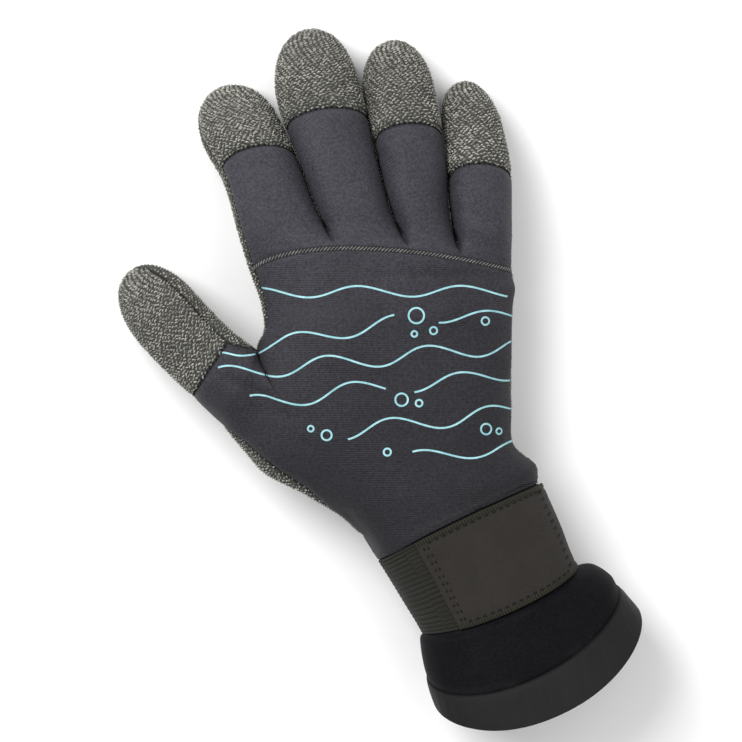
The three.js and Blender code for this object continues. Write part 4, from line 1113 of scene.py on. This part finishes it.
class GloveSettings(bpy.types.PropertyGroup):
    """Sizes and colours of the finish"""
    seam_depth: bpy.props.FloatProperty(
        name="Seam depth", description="How far the surface sinks where it is sewn",
        default=0.0008, min=0.0, max=0.003, unit="LENGTH", precision=4)
    fold_depth: bpy.props.FloatProperty(
        name="Fold depth", description="Depth of the folds on the back, where 1 is as photographed",
        default=1.0, min=0.0, max=2.0)
    rib_pitch: bpy.props.FloatProperty(
        name="Rib pitch", description="Distance between the fine ribs of the neoprene's knit face",
        default=0.00093, min=0.0004, max=0.004, unit="LENGTH", precision=5)
    grip_pitch: bpy.props.FloatProperty(
        name="Grip pitch", description="Distance between the rows of grains of the grip knit",
        default=0.00128, min=0.0008, max=0.004, unit="LENGTH", precision=5)
    grip_length: bpy.props.FloatProperty(
        name="Grip length", description="Length of one grain of the grip knit",
        default=0.00185, min=0.001, max=0.006, unit="LENGTH", precision=5)
    grip_height: bpy.props.FloatProperty(
        name="Grip height", description="Height of the grains of the grip knit",
        default=0.00055, min=0.0001, max=0.002, unit="LENGTH", precision=5)
    stitch_pitch: bpy.props.FloatProperty(
        name="Stitch pitch", description="Distance between stitches along a seam",
        default=0.0016, min=0.0008, max=0.006, unit="LENGTH", precision=4)
    print_width: bpy.props.FloatProperty(
        name="Print width", description="Width of the printed lines",
        default=0.00088, min=0.0004, max=0.004, unit="LENGTH", precision=5)
    neoprene_color: bpy.props.FloatVectorProperty(
        name="Neoprene", description="Lightest tone of the neoprene on the back of the hand",
        default=(0.037, 0.036, 0.044), min=0.0, max=1.0, subtype="COLOR")
    # The fingers' tone is painted light: a lighter copy of the hand's neoprene, for the light that falls more
    # on the fingers.
    finger_painted_light_color: bpy.props.FloatVectorProperty(
        name="Fingers", description="Lightest tone of the neoprene on the backs of the fingers",
        default=(0.046, 0.045, 0.055), min=0.0, max=1.0, subtype="COLOR")
    grip_color: bpy.props.FloatVectorProperty(
        name="Grip knit", description="Lightest tone of the raised grains of the grip knit",
        default=(0.4, 0.39, 0.34), min=0.0, max=1.0, subtype="COLOR")
    strap_color: bpy.props.FloatVectorProperty(
        name="Strap", description="Lightest tone of the elastic strap",
        default=(0.034, 0.033, 0.026), min=0.0, max=1.0, subtype="COLOR")
    print_color: bpy.props.FloatVectorProperty(
        name="Print", description="Lightest tone of the printed lines",
        default=(0.36, 0.63, 0.67), min=0.0, max=1.0, subtype="COLOR")


MATERIALS = {}


def material(name):
    """Each material is made once, when a piece first asks for it."""
    settings = bpy.context.scene.glove
    makers = {
        # The hand's neoprene is painted darker toward the strap, down to half its tone, as painted shade.
        "hand_neoprene": (neoprene, (0.026, 0.025, 0.031), settings.neoprene_color, settings.rib_pitch, 17.0,
                          0.8, 0.15, 0.5),
        # Painted light: the fingers' neoprene is a lighter copy of the hand's, as if lit more strongly.
        "finger_neoprene_painted_light": (neoprene, (0.033, 0.032, 0.04), settings.finger_painted_light_color, settings.rib_pitch, 48.0,
                            0.8),
        "gauntlet_neoprene": (neoprene, (0.0035, 0.0035, 0.0046), (0.006, 0.0058, 0.0075), 0.0009, 17.0,
                              0.25, 0.05),
        "lining": (lining,),
        "grip_ground": (grip_ground,),
        "grip_yarn": (grip_yarn, settings.grip_color),
        "black_thread": (thread, (0.002, 0.002, 0.002), (0.004, 0.004, 0.004), 0.8),
        "dark_thread": (thread, (0.007, 0.007, 0.007), (0.018, 0.018, 0.018), 0.7),
        "grey_thread": (thread, (0.1, 0.1, 0.098), (0.25, 0.25, 0.245), 0.65),
        "hem_cloth": (hem_cloth,),
        "strap_elastic": (woven, (0.009, 0.009, 0.007), settings.strap_color, 0.0007, 0.0009, 0.0002, 0.7,
                          STRAP_WIDTH * MM / RIB_COUNT),
        "patch_webbing": (woven, (0.016, 0.014, 0.012), (0.042, 0.036, 0.031), 0.00062, 0.00062, 0.00018,
                          0.72, None, 0.0031),
        "print_ink": (print_ink, settings.print_color),
        "floor_paper": (floor_paper,),
    }
    if name not in MATERIALS:
        maker, *finish = makers[name]
        MATERIALS[name] = maker(name, *finish)
    return MATERIALS[name]


GRAIN_SEED = 11


def add_panel(name, slot, face, parts, settings, outside=0.0, inside=WALL, shape=None,
              finer=1):
    """One sewn panel that stands for the CAD node of its name."""
    points, faces, inner, attributes = panel(parts, outside, inside, settings, shape, finer)
    piece = make_piece(name + "_cloth", points, faces, [material(face), material("lining")], slot, name,
                       inner, attributes)
    return piece


def all_round(first, last):
    return [(digit, side, first, last, 0) for side in ("back", "palm") for digit in range(5)]


class GLOVE_OT_shell(bpy.types.Operator):
    """Neoprene of the hand's back, the fingers' backs and the gauntlet"""
    bl_idname = "glove.shell"
    bl_label = "Neoprene shell"

    def execute(self, context):
        settings = context.scene.glove
        back = [(digit, "back", GAUNTLET_ROW, KNUCKLE_ROW, 0) for digit in range(5)]
        wrist = [(digit, "palm", GAUNTLET_ROW, PALM_START_ROW, 0) for digit in range(5)]
        add_panel("hand_body", "neoprene", "hand_neoprene", back + wrist, settings)
        fingers = [(digit, "back", KNUCKLE_ROW, CAP_ROW, 0) for digit in range(1, 5)]
        # The fingers' backs are painted lighter than the hand's back, as painted light.
        add_panel("finger_back", "neoprene", "finger_neoprene_painted_light", fingers, settings)
        add_panel("gauntlet", "neoprene", "gauntlet_neoprene", all_round(HEM_ROW, GAUNTLET_ROW), settings)
        return {"FINISHED"}


class GLOVE_OT_grip(bpy.types.Operator):
    """Grip knit of the palm, thumb and fingertips, with its raised grains"""
    bl_idname = "glove.grip"
    bl_label = "Grip knit"

    def execute(self, context):
        settings = context.scene.glove
        random = np.random.default_rng(GRAIN_SEED)
        palm = [(0, "palm", PALM_START_ROW, THUMB_TIP_ROW, 0)]
        palm += [(digit, "palm", PALM_START_ROW, TIP_ROW, 0) for digit in range(1, 5)]
        add_panel("palm_panel", "textured_knit", "grip_ground", palm, settings)
        length, height = settings.grip_length / MM, settings.grip_height / MM
        plain = grain(length, 0.75, height, 2, 3)
        groups = [grip_grains(digit, side, first, last, settings, random, plain)
                  for digit, side, first, last, _ in palm]
        make_piece("palm_grains", *gathered(*groups), [material("grip_yarn")], "textured_knit")
        fine = grain(length, 0.68, height, 3, 4, 0.22)
        caps = {"thumb_back": (0, "back", THUMB_CAP_ROW, THUMB_TIP_ROW, 0)}
        for digit, name in enumerate(("tip_index", "tip_middle", "tip_ring", "tip_little"), 1):
            caps[name] = (digit, "back", CAP_ROW, TIP_ROW, 0)
        for name, part in caps.items():
            add_panel(name, "textured_knit", "grip_ground", [part], settings)
            grains = grip_grains(*part[:4], settings, random, fine)
            make_piece(name + "_grains", *grains, [material("grip_yarn")], "textured_knit")
        return {"FINISHED"}


def beads(line, settings, length=1.25, width=0.75, height=0.55, shift=0.0, slant=0.0, pitch=None):
    """Stitches along a line, each a small grain of thread."""
    pitch = pitch or settings.stitch_pitch / MM
    point, way, side, normal = stations(line, pitch, shift, 0.5)
    stroke, width_way = turned(way, side, slant)
    return sown(grain(length, width, height, 3, 5), point - 0.1 * normal, stroke, width_way, normal)


# Sizes of the stitches in millimetres and degrees, and the overlock band's outline across its width
CAP_STITCH = {"length": 1.7, "width": 0.95, "height": 0.85, "shift": 0.1, "slant": 38.0, "pitch": 2.2}
KNUCKLE_STITCH = {"length": 0.9, "width": 0.9, "height": 0.6, "shift": -2.1, "pitch": 1.5}
PATCH_STITCH = {"length": 1.9, "width": 1.0, "height": 0.4, "pitch": 3.3}
HEEL_SEAM_GAP = 1.6
BAND_PITCH = 1.5
BAND_SLANT = 42.0
BAND_PROFILE = np.array([(-1.8, -0.3), (-1.4, 0.45), (-0.6, 0.75), (0.4, 0.75), (1.3, 0.45), (1.7, -0.3)])


class GLOVE_OT_seams(bpy.types.Operator):
    """Stitched seams between the panels, and the raised overlock band across the knuckles"""
    bl_idname = "glove.seams"
    bl_label = "Seams"

    def execute(self, context):
        settings = context.scene.glove
        seams = []
        for digit in (1, 2, 3, 4, 0):
            cap_row, tip_row = (CAP_ROW, TIP_ROW) if digit else (THUMB_CAP_ROW, THUMB_TIP_ROW)
            seams.append(beads(trail([(digit, cap_row, 0, cap_row, COLUMNS)], "back", settings), settings,
                               **CAP_STITCH))
            for column, first in ((0, LEFT_SEAM_ROWS[digit]), (COLUMNS, RIGHT_SEAM_ROWS[digit])):
                edge = [(digit, first, column, tip_row - 0.3, column)]
                seams.append(beads(trail(edge, "back", settings, samples=300), settings))
        heel = trail([(0, HEEL_ROW, 0, THUMB_ROW, 0)], "back", settings, samples=300)
        seams.append(beads(heel, settings, shift=HEEL_SEAM_GAP))
        palm = [(digit, PALM_START_ROW, 0, PALM_START_ROW, COLUMNS) for digit in range(5)]
        seams.append(beads(trail(palm, "palm", settings), settings))
        across = [(digit, KNUCKLE_ROW, 0, KNUCKLE_ROW, COLUMNS) for digit in range(1, 5)]
        knuckles = trail(across, "back", settings)
        band = ribbon(knuckles, BAND_PITCH / 4, BAND_PROFILE, 0.12, BAND_PITCH)
        make_piece("knuckle_band", *band, [material("dark_thread")], "neoprene")
        seams.append(beads(knuckles, settings, **KNUCKLE_STITCH))
        make_piece("seam_stitches", *gathered(*seams), [material("black_thread")], "neoprene")
        point, way, side, normal = stations(knuckles, BAND_PITCH)
        stroke, width = turned(way, side, BAND_SLANT)
        dashes = sown(grain(2.6, 0.55, 0.36, 3, 5), point + 0.62 * normal, stroke, width, normal)
        make_piece("knuckle_thread", *dashes, [material("grey_thread")], "neoprene")
        return {"FINISHED"}


class GLOVE_OT_hem(bpy.types.Operator):
    """Binding round the gauntlet's mouth"""
    bl_idname = "glove.hem"
    bl_label = "Hem"

    def execute(self, context):
        def puckers(row, across, along):
            waves = np.sin(across * 0.83) * np.sin(across * 0.31 + 1.0)
            swell = np.sin(np.pi * clamp01(row))
            return 0.1 * waves * swell + 0.12 * np.maximum(swell, 0) ** 0.5

        add_panel("hem_band", "hem_cloth", "hem_cloth", all_round(0, HEM_ROW), context.scene.glove,
                  -HEM_PROUD, WALL + HEM_PROUD, puckers)
        return {"FINISHED"}


# The strap's ribs, the patch's left edge as a column of the index finger's grid, and its stitches: rows in
# from the strap's edges, and columns of the index and little finger's grids
RIB_COUNT = 19
PATCH_COLUMN = 2
PATCH_HEM = 0.16
PATCH_LEFT_COLUMN = 2.75
PATCH_RIGHT_COLUMN = 3.9


class GLOVE_OT_strap(bpy.types.Operator):
    """Ribbed elastic strap round the wrist and the stitched webbing patch on it"""
    bl_idname = "glove.strap"
    bl_label = "Strap"

    def execute(self, context):
        settings = context.scene.glove
        span = STRAP_TOP_ROW - STRAP_LOW_ROW
        outside = -LAY_GAP - STRAP_THICKNESS

        def ribs(row, across, along):
            share = (row - STRAP_LOW_ROW) / span
            return 0.35 * np.abs(np.sin(np.pi * RIB_COUNT * share)) ** 0.6 - 0.3

        parts = all_round(STRAP_LOW_ROW, STRAP_TOP_ROW)
        add_panel("wrist_strap", "elastic_strap", "strap_elastic", parts, settings, outside, -LAY_GAP, ribs,
                  finer=4)
        patch_parts = [(1, "back", STRAP_LOW_ROW, STRAP_TOP_ROW, PATCH_COLUMN)]
        patch_parts += [(digit, "back", STRAP_LOW_ROW, STRAP_TOP_ROW, 0) for digit in range(2, 5)]
        top = outside - LAY_GAP - PATCH_THICKNESS

        def border(row, across, along):
            edge = np.minimum(row - STRAP_LOW_ROW, STRAP_TOP_ROW - row) * STRAP_WIDTH / span
            return -0.3 * bell(edge - 3.2, 0.7) - 0.35 * bell(edge, 0.5)

        add_panel("strap_patch", "patch_webbing", "patch_webbing", patch_parts, settings, top,
                  outside - LAY_GAP, border)
        low, high = STRAP_LOW_ROW + PATCH_HEM, STRAP_TOP_ROW - PATCH_HEM
        left, right = PATCH_LEFT_COLUMN, PATCH_RIGHT_COLUMN
        lines = []
        for row in (low, high):
            ends = [(1, left, COLUMNS), (2, 0, COLUMNS), (3, 0, COLUMNS), (4, 0, right)]
            lines.append([(digit, row, first, row, last) for digit, first, last in ends])
        for digit, column in ((1, left), (1, left - 0.3), (4, right), (4, right + 0.35)):
            lines.append([(digit, low, column, high, column)])
        groups = [beads(trail(line, "back", settings, top), settings, **PATCH_STITCH) for line in lines]
        make_piece("patch_stitches", *gathered(*groups), [material("black_thread")], "patch_webbing")
        return {"FINISHED"}


# The print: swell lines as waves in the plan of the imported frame, and small rings between them
WAVES = chart(
    "start end height slope swell length phase",
    (-33, 69, 42, -0.3, 2.4, 41, 0),
    (-60, 22, 25, -0.12, 3.0, 41, 11),
    (38, 69, 31, -0.3, 2.6, 41, 8),
    (-55, 66, 12, -0.2, 3.4, 41, 20),
    (-46, 10, 0, -0.16, 3.4, 41, 27),
    (20, 63, -1, -0.18, 3.0, 41, 30),
    (-12, 59, -17, -0.18, 3.4, 41, 38),
    (12, 55, -31, -0.2, 2.8, 41, 46),
)
RINGS = chart(
    "x y radius",
    (30, 22.5, 3.2), (35, 14.5, 1.5), (27, 15.5, 1.2), (14, -9, 2.6), (20.5, -12.5, 1.4), (-20, -14, 2.1),
    (-25.5, -9.5, 1.2), (57, 12, 1.6), (2, -28, 1.5), (44, -31, 2.2), (49, -33.5, 1.2),
)
THUMB_SHARE_SPAN = 0.3

# For finding points of the plan on the back: rows at heights of the plan to start from, how often to step,
# the step for slopes, and the miss in millimetres that still counts as found
BACK_HEIGHTS = chart("y row", (-55, 8), (-40, 9), (-25, 10), (-10, 11), (5, 12), (28, 14), (50, 16))
NEWTON_STEPS = 25
NUDGE = 1e-4
MISS_ALLOWED = 0.6


def back_surface(share, row, settings=None):
    """The hand's back at a share across it: 0 beside the thumb, 1 on the little finger's side, and below 0
    over the thumb's base. Gives bare points, or dressed points and normals if settings are given."""
    point = np.zeros(share.shape + (3,))
    normal = np.zeros(share.shape + (3,))
    for digit in range(5):
        if digit == 0:
            chosen = share < 0
            u = 1 + share / THUMB_SHARE_SPAN
        else:
            first, last = LINE_SHARES[digit - 1], LINE_SHARES[digit]
            chosen = (share >= first) & (share < last if digit < 4 else share <= 1.0001)
            u = (share - first) / (last - first)
        if not chosen.any():
            continue
        rows = row[chosen]
        angle = np.degrees(np.arccos(np.clip(1 - 2 * u[chosen], -1, 1)))
        start = column_angle(digit, rows, 0.0, "back")
        end = column_angle(digit, rows, float(COLUMNS), "back")
        column = np.clip((angle - start) / (end - start), 0, 1) * COLUMNS
        if settings is None:
            point[chosen] = place(digit, rows, column, "back")
        else:
            point[chosen], _, _, normal[chosen] = dressed(digit, rows, column, "back", 0.0, settings)
    return point, normal


def locate(plan):
    """Share and row of the points of the back that stand over the given points of the plan, by Newton's
    method."""
    share = np.clip((plan[:, 0] + 30) / 105, -0.25, 0.95)
    row = np.clip(np.interp(plan[:, 1], BACK_HEIGHTS["y"], BACK_HEIGHTS["row"]), 8.2, 15.6)
    for _ in range(NEWTON_STEPS):
        here = back_surface(share, row)[0][:, :2]
        by_share = (back_surface(share + NUDGE, row)[0][:, :2] - here) / NUDGE
        by_row = (back_surface(share, row + NUDGE)[0][:, :2] - here) / NUDGE
        miss = plan - here
        whole = by_share[:, 0] * by_row[:, 1] - by_share[:, 1] * by_row[:, 0]
        whole = np.where(np.abs(whole) < 1e-6, 1e-6, whole)
        share_step = (miss[:, 0] * by_row[:, 1] - miss[:, 1] * by_row[:, 0]) / whole
        row_step = (by_share[:, 0] * miss[:, 1] - by_share[:, 1] * miss[:, 0]) / whole
        share = np.clip(share + np.clip(share_step, -0.05, 0.05), -0.295, 0.995)
        row = np.clip(row + np.clip(row_step, -0.6, 0.6), 8.05, 15.9)
    miss = np.linalg.norm(plan - back_surface(share, row)[0][:, :2], axis=1)
    return share, row, miss < MISS_ALLOWED


def printed(plan, settings, closed=False):
    """A thin raised line of ink over a line of the plan, left out where it would leave the hand's back."""
    share, row, found = locate(plan)
    points, normals = back_surface(share[found], row[found], settings)
    half = settings.print_width / MM / 2
    profile = np.array([(-half, -0.12), (-0.85 * half, 0.1), (0.85 * half, 0.1), (half, -0.12)])
    return ribbon((points, normals), 0.6, profile, closed=closed)


class GLOVE_OT_print(bpy.types.Operator):
    """Printed swell lines and rings on the back of the hand"""
    bl_idname = "glove.ink"
    bl_label = "Print"

    def execute(self, context):
        settings = context.scene.glove
        groups = []
        for start, end, height, slope, swell, length, phase in zip(*WAVES.values()):
            x = np.arange(start, end, 0.8)
            y = height + slope * x + swell * np.sin(2 * np.pi * (x - phase) / length)
            groups.append(printed(np.stack([x, y], axis=-1), settings))
        for x, y, radius in zip(*RINGS.values()):
            turn = np.linspace(0, 2 * np.pi, 48)
            circle = np.stack([x + radius * np.cos(turn), y + radius * np.sin(turn)], axis=-1)
            groups.append(printed(circle, settings, closed=True))
        make_piece("printed_lines", *gathered(*groups), [material("print_ink")], "neoprene")
        return {"FINISHED"}


# The stage: half the floor's side, the light from all round, the lamps by name, place, side and watts, and
# the camera: its turn in degrees, the middle and width of what it sees, its height, the height of the plane
# where that width holds, and its sensor
FLOOR_HALF = 4
SKY_STRENGTH = 0.62
LAMPS = (("key", (-0.5, 0.8, 1.2), 0.9, 22.0), ("fill", (0.9, 0.1, 1.1), 1.2, 6.0))
PHOTO_TURN = 17.0
VIEW_CENTRE = (0.00536, 0.00606)
VIEW_WIDTH = 0.3116
VIEW_HEIGHT = 1.63
VIEW_PLANE = 0.03
SENSOR_WIDTH = 36.0


class GLOVE_OT_stage(bpy.types.Operator):
    """Pale floor, soft lights and the photograph's camera"""
    bl_idname = "glove.stage"
    bl_label = "Stage"

    def execute(self, context):
        mesh = bpy.data.meshes.new("floor")
        corners = [(x * FLOOR_HALF, y * FLOOR_HALF, 0) for x, y in ((-1, -1), (1, -1), (1, 1), (-1, 1))]
        mesh.from_pydata(corners, [], [(0, 1, 2, 3)])
        mesh.materials.append(material("floor_paper"))
        floor = bpy.data.objects.new("floor", mesh)
        context.scene.collection.objects.link(floor)
        world = context.scene.world or bpy.data.worlds.new("studio")
        context.scene.world = world
        world.use_nodes = True
        world.node_tree.nodes["Background"].inputs["Color"].default_value = (1, 1, 1, 1)
        world.node_tree.nodes["Background"].inputs["Strength"].default_value = SKY_STRENGTH
        context.scene.view_settings.view_transform = "Standard"
        for name, spot, size, energy in LAMPS:
            self.lamp(context, name, spot, size, energy)
        view = bpy.data.cameras.new("camera")
        view.sensor_width = SENSOR_WIDTH
        view.lens = SENSOR_WIDTH * (VIEW_HEIGHT - VIEW_PLANE) / VIEW_WIDTH
        view.clip_start = 0.01
        view.clip_end = 50.0
        camera = bpy.data.objects.new("camera", view)
        camera.location = (*VIEW_CENTRE, VIEW_HEIGHT)
        camera.rotation_euler = (0.0, 0.0, -np.radians(PHOTO_TURN))
        context.scene.collection.objects.link(camera)
        context.scene.camera = camera
        return {"FINISHED"}

    def lamp(self, context, name, spot, size, energy):
        """A square soft light that faces the glove."""
        data = bpy.data.lights.new(name, "AREA")
        data.size = size
        data.energy = energy
        lamp = bpy.data.objects.new(name, data)
        lamp.location = spot
        lamp.rotation_euler = (-Vector(spot)).to_track_quat("-Z", "Y").to_euler()
        context.scene.collection.objects.link(lamp)


class GLOVE_PT_panel(bpy.types.Panel):
    """Sidebar panel with the glove's sizes and steps"""
    bl_idname = "GLOVE_PT_panel"
    bl_label = "Diving Glove"
    bl_space_type = "VIEW_3D"
    bl_region_type = "UI"
    bl_category = "Diving Glove"

    def draw(self, context):
        settings = context.scene.glove
        for name in GloveSettings.__annotations__:
            self.layout.prop(settings, name)
        for operator in OPERATORS:
            self.layout.operator(operator.bl_idname)


OPERATORS = (GLOVE_OT_shell, GLOVE_OT_grip, GLOVE_OT_seams, GLOVE_OT_hem, GLOVE_OT_strap, GLOVE_OT_print,
             GLOVE_OT_stage)
CLASSES = (GloveSettings,) + OPERATORS + (GLOVE_PT_panel,)


def register():
    for cls in CLASSES:
        bpy.utils.register_class(cls)
    bpy.types.Scene.glove = bpy.props.PointerProperty(type=GloveSettings)


def unregister():
    del bpy.types.Scene.glove
    for cls in reversed(CLASSES):
        bpy.utils.unregister_class(cls)


def main():
    register()
    bpy.ops.glove.shell()
    bpy.ops.glove.grip()
    bpy.ops.glove.seams()
    bpy.ops.glove.hem()
    bpy.ops.glove.strap()
    bpy.ops.glove.ink()
    bpy.ops.glove.stage()


if __name__ == "__main__":
    main()
